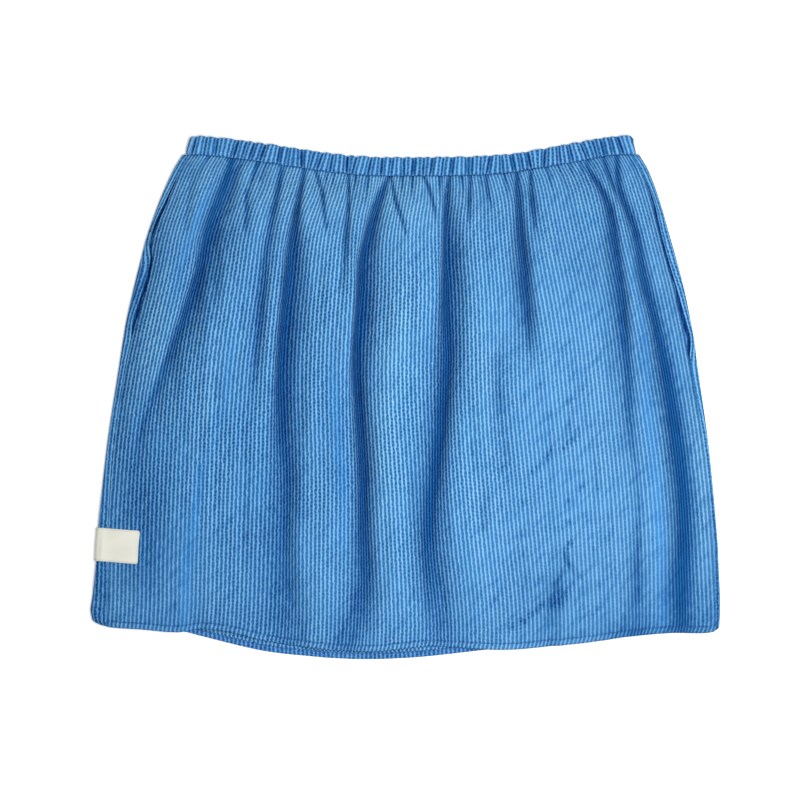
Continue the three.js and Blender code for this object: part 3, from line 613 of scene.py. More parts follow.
def build_mesh(name, points, faces, depth=None, pucker=None, clear=None):
    mesh = bpy.data.meshes.new(name)
    mesh.vertices.add(len(points))
    mesh.vertices.foreach_set("co", (points * MM).astype(np.float32).ravel())
    corners = np.concatenate([p.corners.ravel() for p in faces])
    sizes = np.concatenate([np.full(len(p.corners), p.corners.shape[1]) for p in faces])
    smooth = np.concatenate([np.full(len(p.corners), p.smooth) for p in faces])
    mesh.loops.add(len(corners))
    mesh.loops.foreach_set("vertex_index", corners.astype(np.int32))
    mesh.polygons.add(len(sizes))
    starts = np.concatenate([[0], np.cumsum(sizes)[:-1]])
    mesh.polygons.foreach_set("loop_start", starts.astype(np.int32))
    mesh.polygons.foreach_set("use_smooth", smooth)
    mesh.update(calc_edges=True)
    layer = mesh.uv_layers.new(name="weave")
    weave = np.concatenate([p.weave.reshape(-1, 2) for p in faces]) * MM
    layer.data.foreach_set("uv", weave.astype(np.float32).ravel())
    flat = np.zeros(len(points))
    # Of these, the first carries painted shade and the last the clear blue and painted light.
    for attribute, values in (("painted_fold_shade", depth), ("pucker", pucker), ("clear_blue_and_painted_light", clear)):
        layer = mesh.attributes.new(attribute, "FLOAT", "POINT")
        layer.data.foreach_set("value", (flat if values is None else values).astype(np.float32).ravel())
    mesh.validate()
    return mesh


def add_object(name, mesh, material):
    piece = bpy.data.objects.new(name, mesh)
    bpy.context.scene.collection.objects.link(piece)
    mesh.materials.append(material)
    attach(piece, "root")
    return piece


def surface_normals(grid):
    along_rows = np.gradient(grid, axis=0)
    along_columns = np.gradient(grid, axis=1)
    normal = np.cross(along_rows, along_columns)
    return normal / np.maximum(np.linalg.norm(normal, axis=-1, keepdims=True), 1e-9)


def fine_shell(name, outer, weave, thickness, material, depth=None, inner=None, pucker=None, clear=None):
    """A sheet with a finely divided outer face and an inner face of half the rows and columns."""
    rows, columns = outer.shape[:2]
    if inner is None:
        inner = outer - surface_normals(outer) * thickness
    inner = inner[::2, ::2]
    fine = np.arange(rows * columns).reshape(rows, columns)
    coarse = rows * columns + np.arange(inner.shape[0] * inner.shape[1]).reshape(inner.shape[:2])
    inner_weave = weave[::2, ::2]
    points = np.concatenate([outer.reshape(-1, 3), inner.reshape(-1, 3)])
    faces = [grid_patch(fine, weave), grid_patch(coarse, inner_weave, turned=True)]
    for edge in (np.s_[0, ::-1], np.s_[-1, :], np.s_[:, 0], np.s_[::-1, -1]):
        faces.append(rim_patch(fine[edge], coarse[edge], weave[edge], inner_weave[edge]))
    both = lambda grid: None if grid is None else np.concatenate([grid.ravel(), grid[::2, ::2].ravel()])
    mesh = build_mesh(name, points, faces, both(depth), both(pucker), both(clear))
    return add_object(name, mesh, material)


def plain_shell(name, outer, inner, weave, material, depth=None):
    """A sheet whose outer and inner face have the same rows and columns."""
    out = np.arange(outer[..., 0].size).reshape(outer.shape[:2])
    into = out.size + out
    points = np.concatenate([outer.reshape(-1, 3), inner.reshape(-1, 3)])
    faces = [grid_patch(out, weave), grid_patch(into, weave, turned=True)]
    for edge in (np.s_[0, :], np.s_[-1, ::-1], np.s_[::-1, 0], np.s_[:, -1]):
        faces.append(plain_rim(out[edge], into[edge], weave[edge]))
    if depth is not None:
        depth = np.concatenate([depth.ravel(), depth.ravel()])
    return add_object(name, build_mesh(name, points, faces, depth), material)


def blur(grid, across, along):
    """Softens a grid of values over so many columns and rows."""
    for axis, reach in ((1, across), (0, along)):
        steps = np.arange(-int(2.5 * reach), int(2.5 * reach) + 1)
        weights = np.exp(-((steps / reach) ** 2) / 2)
        weights /= weights.sum()
        pad = [(0, 0), (0, 0)]
        pad[axis] = (len(steps) // 2, len(steps) // 2)
        wide = np.pad(grid, pad, mode="edge")
        places = np.arange(grid.shape[axis])
        grid = sum(w * np.take(wide, places + k, axis=axis) for k, w in enumerate(weights))
    return grid


# Painted shade from the broad patches, from 0 to 1.
def painted_patch_shade(across, down):
    return np.clip(patches(PAINTED_SHADE_PATCHES, across, down), 0, 1)


def painted_fold_shade(across, down, height):
    """How much painted shade each point gets, from 0 to 1: from how deep it lies in a wide valley or in a
    narrow crease, a gather, a slanting crease or at the seam under the band, and from the broad patches.
    """
    full_depth = mix(6.5, 14.5, ease((down - 16) / 45))
    valley_part = np.clip(main_folds(across, down) / full_depth, 0, 1) ** 1.25
    hidden_part = np.clip(cloth_hidden(across, down) / 2.4, 0, 1)
    crease_part = np.clip((blur(height, 3, 1.4) - height - 0.12) / 0.5, 0, 1)
    gather_part = np.clip(gathers_under_band(across, down, 0.4) / 2.1, 0, 1)
    slanting_part = np.clip(slanting_creases(across, down), 0, 1)
    seam_part = np.exp(-((np.maximum(down - seam_down(across), 0) / 1.1) ** 2))
    crease_dark = mix(CREASE_TOP_DARK, CREASE_DARK, ease((down - 50) / 60))
    # Of the colour, the share that the painted shade leaves.
    light = 1 - painted_patch_shade(across, down)
    for dark, part in (
        (VALLEY_DARK, valley_part),
        (HIDDEN_DARK, hidden_part),
        (crease_dark, crease_part),
        (GATHER_DARK, gather_part),
        (SLANT_DARK, slanting_part),
        (SEAM_DARK, seam_part),
    ):
        light *= 1 - dark * part
    return 1 - light


def cloth_coordinates(points, cloth_width, heights=None, hidden=None):
    """Where each point of a sheet is on the flat cloth: the same width of cloth in every row, with
    the spare cloth hidden in the folds."""
    heights = points[..., 2] if heights is None else heights
    across = np.abs(np.diff(points[..., 0], axis=1))
    length = np.hypot(across, SLOPE_SHARE * np.diff(heights, axis=1))
    spare = np.maximum(cloth_width - length.sum(1, keepdims=True), 0)
    if hidden is not None:
        amount = (hidden[:, 1:] + hidden[:, :-1]) / 2 * across
        total = amount.sum(1, keepdims=True)
        length += amount * np.minimum(1, spare / total)
    length = blur(length, 0.3, 7)
    ends = points[:, [0, -1], 0]
    rows = np.arange(len(points))[:, None]
    held = ease(np.minimum(rows, len(points) - 1 - rows) / EDGE_ROWS)
    wander = (ends - blur(ends, 0.3, EDGE_ROWS / 2)) * held
    length *= (cloth_width + wander[:, 1:] - wander[:, :1]) / length.sum(1, keepdims=True)
    return np.concatenate([wander[:, :1], wander[:, :1] + np.cumsum(length, axis=1)], axis=1)


# ---- Materials ----
def arithmetic(operation, turned=False):
    def apply(self, other):
        first, second = (other, self) if turned else (self, other)
        return self.nodes.math(operation, first, second)

    return apply


class Value:
    """A number in a material's node tree, with the usual arithmetic."""

    __add__, __mul__ = arithmetic("ADD"), arithmetic("MULTIPLY")
    __sub__, __rsub__ = arithmetic("SUBTRACT"), arithmetic("SUBTRACT", turned=True)
    __truediv__ = arithmetic("DIVIDE")

    def __init__(self, nodes, socket):
        self.nodes, self.socket = nodes, socket


class Nodes:
    """Adds nodes to a material, and joins them."""

    def __init__(self, name):
        self.material = bpy.data.materials.new(name)
        self.material.use_nodes = True
        self.tree = self.material.node_tree
        self.shader = self.tree.nodes["Principled BSDF"]

    def add(self, kind, **settings):
        node = self.tree.nodes.new(kind)
        for key, value in settings.items():
            setattr(node, key, value)
        return node

    def put(self, value, socket):
        if isinstance(value, Value):
            self.tree.links.new(value.socket, socket)
        elif value is not None:
            socket.default_value = value

    def result(self, node, *values):
        """Fills a node's inputs in their order, and gives its first output."""
        for socket, value in zip([s for s in node.inputs if s.enabled], values):
            self.put(value, socket)
        return Value(self, [s for s in node.outputs if s.enabled][0])

    def math(self, operation, a, b=None, c=None):
        return self.result(self.add("ShaderNodeMath", operation=operation), a, b, c)

    def wave(self, turns):
        return self.math("COSINE", turns * (2 * math.pi))

    def mixed(self, blend_type, factor, a, b):
        node = self.add("ShaderNodeMix", data_type="RGBA", blend_type=blend_type)
        a, b = ((*value, 1.0) if isinstance(value, tuple) else value for value in (a, b))
        return self.result(node, factor, a, b)

    def blend(self, factor, a, b):
        return self.mixed("MIX", factor, a, b)

    def tint(self, factor, a, b):
        return self.mixed("MULTIPLY", factor, a, b)

    def smooth_step(self, value, low, high):
        node = self.add("ShaderNodeMapRange", interpolation_type="SMOOTHSTEP")
        return self.result(node, value, low, high)

    def noise(self, place, scale, detail):
        return self.result(self.add("ShaderNodeTexNoise", noise_dimensions="3D"), place, scale, detail)

    def vector(self, x, y):
        return self.result(self.add("ShaderNodeCombineXYZ"), x, y)

    def stored(self, name):
        node = self.add("ShaderNodeAttribute", attribute_name=name, attribute_type="GEOMETRY")
        return Value(self, node.outputs["Fac"])

    def cloth_place(self):
        """Metres across and along the flat cloth."""
        split = self.add("ShaderNodeSeparateXYZ")
        across = self.result(split, self.result(self.add("ShaderNodeUVMap", uv_map="weave")))
        return across, Value(self, split.outputs["Y"])

    def finish(self, colour, height, strength, deep, roughness, specular):
        """Joins colour and relief to the shader, and gives the material."""
        bump = self.add("ShaderNodeBump")
        for name, value in (("Strength", strength), ("Distance", deep), ("Height", height)):
            self.put(value, bump.inputs[name])
        for name, value in (
            ("Base Color", colour),
            ("Normal", Value(self, bump.outputs[0])),
            ("Roughness", roughness),
            ("Specular IOR Level", specular),
        ):
            self.put(value, self.shader.inputs[name])
        return self.material


def seersucker(name, light=LIGHT_BLUE, dark=DARK_BLUE, deep=PUCKER_SHADE_BLUE, pucker=1.0):
    """Fine two-blue stripes: raised light ones, and hollow dark ones drawn in at every pucker, with painted
    shade in the hollows, folds and crinkles and painted light in patches.
    """
    n = Nodes(name)
    u, v = n.cloth_place()
    smoothed, clear, painted_shade = (n.stored(key) for key in ("pucker", "clear_blue_and_painted_light", "painted_fold_shade"))

    def cloth_noise(key, across=u, along=v):
        many_across, many_along, detail, low, high = CLOTH_NOISES[key]
        value = n.noise(n.vector(across * many_across, along * many_along), 1.0, detail)
        return value if low is None else n.smooth_step(value, low, high)

    # the stripes waver
    waver = (cloth_noise("slow") - 0.5) * (SLOW_WAVER * MM * pucker)
    waver = waver + (cloth_noise("quick") - 0.5) * (QUICK_WAVER * MM * pucker)
    place = (u + waver * (1.0 - smoothed * 0.65)) / (STRIPE_PITCH * MM)
    light_part = n.smooth_step(n.wave(place), *LIGHT_EDGE)
    # each dark stripe is drawn in at its own puckers
    stripe_number = n.math("FLOOR", place)
    start = n.result(n.add("ShaderNodeTexWhiteNoise", noise_dimensions="1D"), stripe_number)
    drift = n.noise(n.vector(stripe_number, v * PUCKER_DRIFTS), 1.0, 1.0)
    dot = n.smooth_step(n.wave(v / (PUCKER_PITCH * MM) + start + drift * PUCKER_DRIFT), *DOT_EDGE)
    dot = dot * (cloth_noise("patchy") * 0.6 + 0.4)
    hollow = dot * (1.0 - light_part)
    # the stripes' colours, with painted shade in the dark stripes' pucker hollows, less where the cloth lies
    # smoother
    dark_mix = n.blend(dot * (1.0 - smoothed * 0.8), dark, deep)
    dark_mix = n.blend(smoothed * 0.16, dark_mix, light)
    colour = n.blend(light_part, dark_mix, light)
    # Small hollows in the light stripes, with painted shade in them.
    pebble = cloth_noise("pebble") * light_part
    # short slanting crinkles with painted shade in their hollows, more of them where the cloth is smoother
    crinkle = cloth_noise("crinkle", u + v, u - v)
    crinkled = smoothed * 0.24 + 0.28
    for amount, tint in (
        (pebble * 0.42, PEBBLE_SHADE_TINT),
        (cloth_noise("mottle") * 0.22, MOTTLE_TINT),
        (cloth_noise("streak") * 0.36, STREAK_TINT),
        (crinkle * crinkled, CRINKLE_SHADE_TINT),
    ):
        colour = n.tint(amount, colour, tint)
    # Clear blue where the stripes close up, and painted light that makes them paler.
    colour = n.blend(clear * 0.5, colour, CLEAR_BLUE)
    colour = n.tint(clear * -1.0, colour, PAINTED_LIGHT_GAIN)
    # painted shade in the folds, creases, seam, hems and pockets and in the broad patches, with ragged edges
    ragged = (cloth_noise("ragged") - 0.5) * (painted_shade * (1.0 - painted_shade) * FOLD_RAGGED)
    in_painted_shade = painted_shade + ragged
    colour = n.tint(in_painted_shade * (1.0 - light_part) * 0.75, colour, PAINTED_FOLD_STRIPE_SHADE_TINT)
    colour = n.tint(in_painted_shade, colour, PAINTED_FOLD_SHADE_TINT)
    # relief
    height = light_part * 0.55 - hollow * 0.6 - pebble * 0.22 + cloth_noise("grain") * 0.05
    height = height - crinkle * (crinkled * 1.2)
    n.shader.inputs["Sheen Weight"].default_value = 0.05
    n.shader.inputs["Sheen Roughness"].default_value = 0.5
    n.shader.inputs["Sheen Tint"].default_value = SHEEN_TINT
    return n.finish(colour, height, 0.8 * pucker, CLOTH_RELIEF * MM, 0.78, 0.10)


def tape_material():
    """Cream cotton tape in a fine plain weave."""
    n = Nodes("label_tape")
    u, v = n.cloth_place()
    weave = n.wave(u / (TAPE_WARP * MM)) * n.wave(v / (TAPE_WEFT * MM))
    soil = n.noise(n.vector(u * 60.0, v * 60.0), 1.0, 3.0)
    from_middle = n.math("ABSOLUTE", v - LABEL_DOWN * MM)
    selvedge = n.smooth_step(from_middle, LABEL_SELVEDGE * MM, (LABEL_SELVEDGE + 0.35) * MM)
    # A thin line of painted shade in the groove at the selvedge's edge.
    groove = n.math("COMPARE", from_middle, LABEL_SELVEDGE * MM, 0.2 * MM)
    colour = n.tint(groove, n.blend(soil, TAPE_PALE, TAPE_SOILED), GROOVE_SHADE_TINT)
    colour = n.tint((weave * 0.5 + 0.5) * 0.35, colour, GRAIN_TINT)
    return n.finish(colour, weave + selvedge * 2.5, 0.35, FINE_RELIEF * MM, 0.8, 0.25)


def thread_material():
    n = Nodes("sewing_thread")
    place = Value(n, n.add("ShaderNodeTexCoord").outputs["Object"])
    fibre = n.noise(place, THREAD_FIBRES, 2.0)
    colour = n.blend(fibre, THREAD_DARK, THREAD_LIGHT)
    return n.finish(colour, fibre, 0.5, FINE_RELIEF * MM, 0.6, 0.5)


cloth = seersucker("seersucker")
casing_cloth = seersucker("casing_seersucker", pucker=0.7)
shaded_inside_cloth = seersucker("inside_seersucker_shaded", *SHADED_INSIDE_BLUES)
shaded_bag_cloth = seersucker("pocket_lining_shaded", *SHADED_BAG_BLUES)
tape = tape_material()
thread = thread_material()


# ---- Front panel ----
def seam_lap(gape, down):
    """Closes the gap at the side seam, and lets the open pocket edge waver."""
    opened = ease(gape / 1.5)
    waver = 0.2 * np.sin(down / 6.1) + 0.15 * np.sin(down / 3.3 + 1)
    return (1 - opened) * (SIDE_GAP - 0.05) + opened * waver * gape


def front_positions(share, t):
    """Across and down of the points at these shares of the way down and across the front."""
    left_down, right_down = panel_ends(share, hem_front)
    left = side_left(left_down) + left_seam(left_down) - seam_lap(left_gape(left_down), left_down)
    right = side_right(right_down) - right_seam(right_down) + seam_lap(right_gape(right_down), right_down + 9)
    across = mix(left, right, t)
    return across, mix(seam_down(across), hem_front(across), share)


def front_rows(count):
    """Shares of the way down of the rows of points, closer at the top and at the hem."""
    step = np.linspace(0, 1, count + 2 - len(HEM_ROWS))
    upper = step * (0.55 + 0.45 * step) * (1 - HEM_ROWS[0] / FRONT_DROP)
    return np.concatenate([upper[:-1], 1 - np.array(HEM_ROWS) / FRONT_DROP])


def hem_relief(share):
    """The stitch line's groove above the hem, and the hem's rounded edge."""
    above = (1 - share) * FRONT_DROP
    return 0.4 * np.exp(-(((above - HEM_TURN) / 0.8) ** 2)) + 0.45 * np.maximum(0, 1 - above / 1.5) ** 2


def smoothness(across, down):
    """Above nought where the cloth lies smoother: to the right, low down, under the band, lower left."""
    right = 0.75 * ease((across - 20) / 110) * ease((down - 40) / 60) + 0.25 * ease((down - 250) / 120)
    under_band = 0.4 * (1 - ease((down - 50) / 60))
    lower_left = 0.6 * ease((down - 270) / 70) * (1 - ease((across + 190) / 90))
    creased = np.clip(blur(slanting_creases(across, down), 2, 0.6) * 1.6, 0, 1)
    return np.maximum(np.maximum(right, under_band), lower_left) * (1 - 0.9 * creased)


def front_panel():
    share = front_rows(FRONT_ROWS)[:, None]
    t = np.linspace(0, 1, FRONT_COLUMNS + 1)[None, :]
    across, down = front_positions(share, t)
    height = front_height(across, down)
    # Painted shade in the folds, and along the hem's stitch groove and rounded edge.
    depth = painted_fold_shade(across, down, height)
    depth = 1 - (1 - depth) * (1 - 0.9 * hem_relief(share))
    outer = np.stack([across, to_y(down), height - hem_relief(share)], -1)
    smooth = front_height(across, down, small=0.0)
    u = cloth_coordinates(outer, FRONT_CLOTH, smooth, cloth_hidden(across, down))
    u += HEM_SLANT * np.maximum(0, 1 - (1 - share) * FRONT_DROP / HEM_TURN)
    weave = np.stack([u, down], -1)
    smoothed, clear = smoothness(across, down), stripes_clear_and_painted_light(across, down)
    piece = fine_shell("front_cloth", outer, weave, FRONT_WALL, cloth, depth, pucker=smoothed, clear=clear)
    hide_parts("front_panel")
    front_hem()


# ---- Back panel ----
def back_section(share, inset):
    """The back's face from its left edge on the front, round under it, to its right edge."""
    left_down, right_down = panel_ends(share, hem_back)
    left, right = side_left(left_down), side_right(right_down)
    radius = EDGE_HEIGHT / 2
    left_turn = left_seam(left_down) - np.maximum(0, left_gape(left_down)) - SIDE_GAP
    right_turn = right_seam(right_down) - np.maximum(0, right_gape(right_down)) - SIDE_GAP
    reach = radius - inset
    left_centre, right_centre = left + radius, right - radius
    turned = np.linspace(0, 1, BACK_TURNED + 1)
    under = np.linspace(0, 1, BACK_UNDER + 1)[1:-1]
    angle = np.pi * (0.5 - np.linspace(0, 1, BACK_ROUND + 1))
    bent, rise = reach * np.cos(angle), reach * np.sin(angle) + 0 * share
    level = lambda t, height: np.full_like(share * t, height)
    parts = (
        (mix(left + left_turn, left_centre, turned[:-1]), level(turned[:-1], EDGE_HEIGHT - inset)),
        (left_centre - bent, radius + rise),
        (mix(left_centre, right_centre, under), level(under, inset)),
        (right_centre + bent, radius - rise),
        (mix(right_centre, right - right_turn, turned[1:]), level(turned[1:], EDGE_HEIGHT - inset)),
    )
    across, height = (np.concatenate([part[k] for part in parts], axis=1) for k in range(2))
    down = mix(seam_down(across), hem_back(across), share)
    return np.stack([across, to_y(down), height + cloth_lift(across, down)], -1), down


def back_panel():
    share = np.linspace(0, 1, BACK_ROWS + 1)[:, None]
    outer, down = back_section(share, 0)
    inner, _ = back_section(share, CLOTH)
    u = cloth_coordinates(outer, BACK_CLOTH)
    weave = np.stack([u, down], -1)
    flip = lambda grid: grid[:, ::-1]
    # Painted shade from the broad patches, on the back's edges that lie high enough to show.
    depth = painted_patch_shade(outer[..., 0], down) * (outer[..., 2] > EDGE_HEIGHT / 3)
    piece = fine_shell(
        "back_cloth", flip(outer), flip(weave), CLOTH, cloth, depth=flip(depth), inner=flip(inner)
    )
    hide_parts("back_panel")
    back_hem()


# ---- Waistband ----

def band_path():
    """The middle of the band's wall all round, x and z, and which way is out."""
    radius = (BAND_HEIGHT - BAND_WALL) / 2
    middle = BAND_HEIGHT / 2
    left, right = BAND_LEFT + middle, BAND_RIGHT - middle
    t = np.linspace(0, 1, BAND_FRONT + 1)
    turn = np.linspace(0, 1, BAND_TURN + 1)[1:-1]

    def end(centre, angle):
        ahead, up = np.cos(angle), np.sin(angle)
        return centre + radius * ahead, middle + radius * up, ahead, up

    rows = (
        (mix(left, right, t), np.full_like(t, middle + radius), 0 * t, 0 * t + 1),
        end(right, np.pi * (0.5 - turn)),
        (mix(right, left, t), np.full_like(t, middle - radius), 0 * t, 0 * t - 1),
        end(left, np.pi * (-0.5 - turn)),
    )
    return [np.concatenate([row[k] for row in rows]) for k in range(4)]


def band_edges(length):
    """Creases round the whole band: each one's place at the upper edge and at the seam, its depth,
    and how high the cloth after it puffs."""
    upper, lower, deep = (np.array(column) for column in zip(*BAND_CREASES))
    start = BAND_LEFT + BAND_HEIGHT / 2
    draw = np.random.default_rng(21)
    rest = np.cumsum(BAND_PUCKER * draw.uniform(0.5, 1.5, 80)) + upper[-1] - start + 4
    rest = rest[rest < length - 3]
    lean = draw.uniform(-1.4, 1.4, len(rest))
    upper = np.concatenate([upper - start, rest + lean])
    lower = np.concatenate([lower - start, rest - lean])
    deep = np.concatenate([deep, draw.uniform(0.3, 1, len(rest))])
    heights = draw.uniform(0.6, 1.1, len(deep))
    around = lambda values, turn: np.concatenate([values[-1:] - turn, values, values[:1] + turn])
    return around(upper, length), around(lower, length), around(deep, 0), around(heights, 0)


def waistband():
    x, z, nx, nz = band_path()
    step = np.hypot(np.diff(x, append=x[:1]), np.diff(z, append=z[:1]))
    ring = np.concatenate([[0], np.cumsum(step)])
    length = ring[-1]
    upper, lower, deep, heights = band_edges(length)
    share = np.array([p[0] for p in BAND_SECTION])[:, None]
    out = np.array([p[1] for p in BAND_SECTION])[:, None]
    middles = BAND_EASE * (upper + lower) / 2
    nearest, puff, edge_depth, cloth_at = (np.empty((len(share) + 1, len(ring))) for _ in range(4))
    for row, down_share in enumerate(np.append(share[:, 0], share[0, 0])):
        edges = mix(upper, lower, down_share)
        k = np.clip(np.searchsorted(edges, ring, side="right") - 1, 0, len(edges) - 2)
        gap = edges[k + 1] - edges[k]
        inside = (ring - edges[k]) / gap
        nearest[row] = np.minimum(inside, 1 - inside) * gap
        edge_depth[row] = np.where(inside < 0.5, deep[k], deep[k + 1])
        puff[row] = heights[k] * np.sqrt(np.clip(1 - np.abs(2 * inside - 1) ** 2.2, 0, 1))
        bunched = inside + 0.03 * np.sin(2 * math.pi * inside)
        cloth_at[row] = mix(middles[k], middles[k + 1], bunched)
    sharp = (edge_depth * np.exp(-((nearest / 0.95) ** 2)))[:-1, :-1]
    soft = (edge_depth * np.exp(-((nearest / 1.9) ** 2)))[:-1, :-1]
    puff = puff[:-1, :-1]
    swell_in = np.clip(out, 0, 1) * (0.35 + 0.65 * np.sin(np.pi * np.clip(share, 0.04, 0.96)) ** 0.5)
    reach = out * BAND_WALL / 2 - swell_in * (0.8 * sharp + 1.1 * soft + 0.9 * (1.1 - puff))
    edge_pull = 1.5 * np.maximum(0, 1 - share / 0.22) * (0.8 * soft + 0.5 * (1.1 - puff))
    edge_pull += (SEAM_GAP - 0.05) * np.maximum(0, (share - 0.85) / 0.15) * (1 - soft)
    from_end = np.minimum(x - BAND_LEFT, BAND_RIGHT - x)
    edge_pull += 2.2 * np.maximum(0, 1 - from_end / 4.5) ** 2 * np.maximum(0, 1 - share / 0.5)
    slant = np.where(x < 0, -BAND_LEFT_FLARE * x / BAND_LEFT, BAND_RIGHT_FLARE * x / BAND_RIGHT)
    across = x + nx * reach + share * slant
    down = waist_down(across) + share * BAND_DEPTH + edge_pull
    height = z + nz * reach
    outer = np.stack([across, to_y(down), height], -1)
    index = np.arange(down.size).reshape(down.shape)
    index = np.pad(index, ((0, 1), (0, 1)), mode="wrap")
    steps = np.hypot(np.diff(share[:, 0]) * BAND_DEPTH, np.diff(out[:, 0]) * BAND_WALL / 2)
    section_run = np.cumsum(np.concatenate([[0], steps, [1.0]]))
    weave = np.stack([cloth_at, np.repeat(section_run[:, None], len(ring), axis=1)], -1)
    # Painted shade on the band's outer face: in its creases, between its puffs, at its seam and in the broad
    # patches.
    at_seam = 0.6 * np.maximum(0, (share - 0.9) / 0.1)
    low = np.clip(1.05 - puff, 0, 1)
    shade = 1 - (1 - 0.9 * sharp) * (1 - 0.45 * soft) * (1 - 0.4 * low) * (1 - at_seam)
    depth = 1 - (1 - shade * np.clip(out, 0, 1)) * (1 - 0.5 * painted_patch_shade(across, down))
    mesh = build_mesh("band", outer.reshape(-1, 3), [grid_patch(index, weave)], depth.ravel())
    piece = add_object("band_casing", mesh, casing_cloth)
    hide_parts("waistband")


# ---- Hems ----
def turn_top(hem):
    """The share of the way down at which a hem's turned strip begins."""
    return 1 - HEM_TURN / (hem(0.0) - seam_down(0.0))


def front_hem():
    share = np.linspace(turn_top(hem_front), TURN_BOTTOM, TURN_ROWS)[:, None]
    t = np.linspace(TURN_INSET, 1 - TURN_INSET, TURN_COLUMNS)[None, :]
    across, down = front_positions(share, t)
    height = front_height(across, down)
    top = np.stack([across, to_y(down), height - LAYER_STEP], -1)
    bottom = top - np.array([0, 0, FRONT_WALL])
    weave = np.stack([across + TURN_WEAVE, down], -1)
    piece = plain_shell("front_hem_turn", top, bottom, weave, shaded_inside_cloth)
    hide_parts("front_hem")
    return piece


def back_hem():
    share = np.linspace(turn_top(hem_back), 1, TURN_ROWS)[:, None]
    section, down = back_section(share, CLOTH)
    start = BACK_TURNED + BACK_ROUND + 2
    low, level = section[:, start:-start], down[:, start:-start]
    weave = np.stack([low[..., 0] + TURN_WEAVE, level], -1)
    low = low + np.array([0, 0, SEAM_GAP])
    high = low + np.array([0, 0, BAG_WALL])
    # Painted shadow on the turned strip, under the front hem.
    shade = np.full(level.shape, HEM_SHADE)
    piece = plain_shell("back_hem_turn", high, low, weave, shaded_inside_cloth, depth=shade)
    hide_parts("back_hem")
    return piece


# ---- Pocket bags ----
def pocket_layer(name, sign, height, start_at):
    """One flat layer of a bag, hung from the waist seam and the side seam."""
    edge = side_left if sign < 0 else side_right
    s = np.linspace(0, 1, BAG_ROWS)[:, None]
    level = mix(SIDE_TOP, POCKET_BOTTOM, s)
    start = start_at(level)
    below = np.maximum(0, s - POCKET_STRAIGHT) / (1 - POCKET_STRAIGHT)
    end = start + (POCKET_REACH - start) * np.sqrt(1 - POCKET_CORNER * below**POCKET_ROUND)
    across = edge(level) - sign * mix(start, end, np.linspace(0, 1, BAG_COLUMNS)[None, :])
    down = mix(seam_down(across) + SEAM_GAP, POCKET_BOTTOM, s)
    top = np.stack([across, to_y(down), height + cloth_lift(across, down)], -1)
    if sign > 0:
        top = top[:, ::-1]
    weave = np.stack([top[..., 0] + BAG_WEAVE, SKIRT_LENGTH / 2 - top[..., 1]], -1)
    # Painted shadow on the bag layers.
    shade = np.full(top.shape[:2], POCKET_SHADE)
    piece = plain_shell(name, top, top - np.array([0, 0, BAG_WALL]), weave, shaded_bag_cloth, depth=shade)
    return piece


def pockets():
    for side_name, sign, seam in (("left", -1, left_seam), ("right", 1, right_seam)):
        inset = lambda level: np.full_like(level, POCKET_INSET)
        lower = pocket_layer(f"bag_back_{side_name}", sign, CLOTH + LAYER_STEP, inset)
        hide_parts(f"pocket_back_{side_name}")
        upper = pocket_layer(f"bag_front_{side_name}", sign, CLOTH + 2 * LAYER_STEP, seam)
        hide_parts(f"pocket_front_{side_name}")


# ---- Label ----
def label():
    radius = EDGE_HEIGHT / 2 + SEAM_GAP + LABEL_WALL
    middle = EDGE_HEIGHT / 2 + LAYER_STEP
    s = np.linspace(0, 1, 29)[:, None]
    down = LABEL_DOWN + (s - 0.5) * LABEL_HEIGHT
    left = side_left(down)
    centre = left + EDGE_HEIGHT / 2

    def rows(inset):
        along = np.concatenate([[1, 0.992, 0.978], np.linspace(0.96, 0.12, 32)])[None, :]
        upper = left + LABEL_REACH * along
        height = front_height(np.maximum(upper, left + left_seam(down) + 0.2), down)
        curl = 0.5 * np.maximum(0, (along - 0.9) / 0.1) ** 2 + 0.25 * np.sin(along * 7 + down / 5)
        over_z = blur(height, 3, 3) + LABEL_CLEARANCE + LABEL_WALL + 0.25 + curl - inset
        angle = np.pi * (0.5 + np.linspace(0, 1, 15))[None, :]
        r = radius - inset
        turn = centre + r * np.cos(angle)
        turn_z = middle + r * np.sin(angle) + 0 * down
        under = left + LABEL_REACH * np.array([0.2, 0.4, 0.6, 0.8, 0.96, 1])[None, :]
        under_z = np.full_like(under, middle - radius + inset)
        across = np.concatenate([upper, turn, under], axis=1)
        tilt_at = np.concatenate([upper, np.repeat(centre, 15, axis=1), under], axis=1)
        from_end = LABEL_REACH - (tilt_at - left)
        corner = np.clip(1 - from_end / LABEL_CORNER, 0, 1)
        narrowed = 1 - (1 - np.sqrt(1 - corner**2)) * LABEL_CORNER / (LABEL_HEIGHT / 2)
        rounded = LABEL_DOWN + (down - LABEL_DOWN) * narrowed
        y = to_y(rounded + (tilt_at - left) * LABEL_TILT)
        return np.stack([across, y, np.concatenate([over_z, turn_z, under_z], axis=1)], -1)

    outer, inner = rows(0)[:, ::-1], rows(LABEL_WALL * 0.8)[:, ::-1]
    run = np.cumsum(np.linalg.norm(np.diff(outer, axis=1, prepend=outer[:, :1]), axis=-1), axis=1)
    weave = np.stack([run, down + 0 * run], -1)
    piece = plain_shell("side_label", outer, inner, weave, tape)
    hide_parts("label")


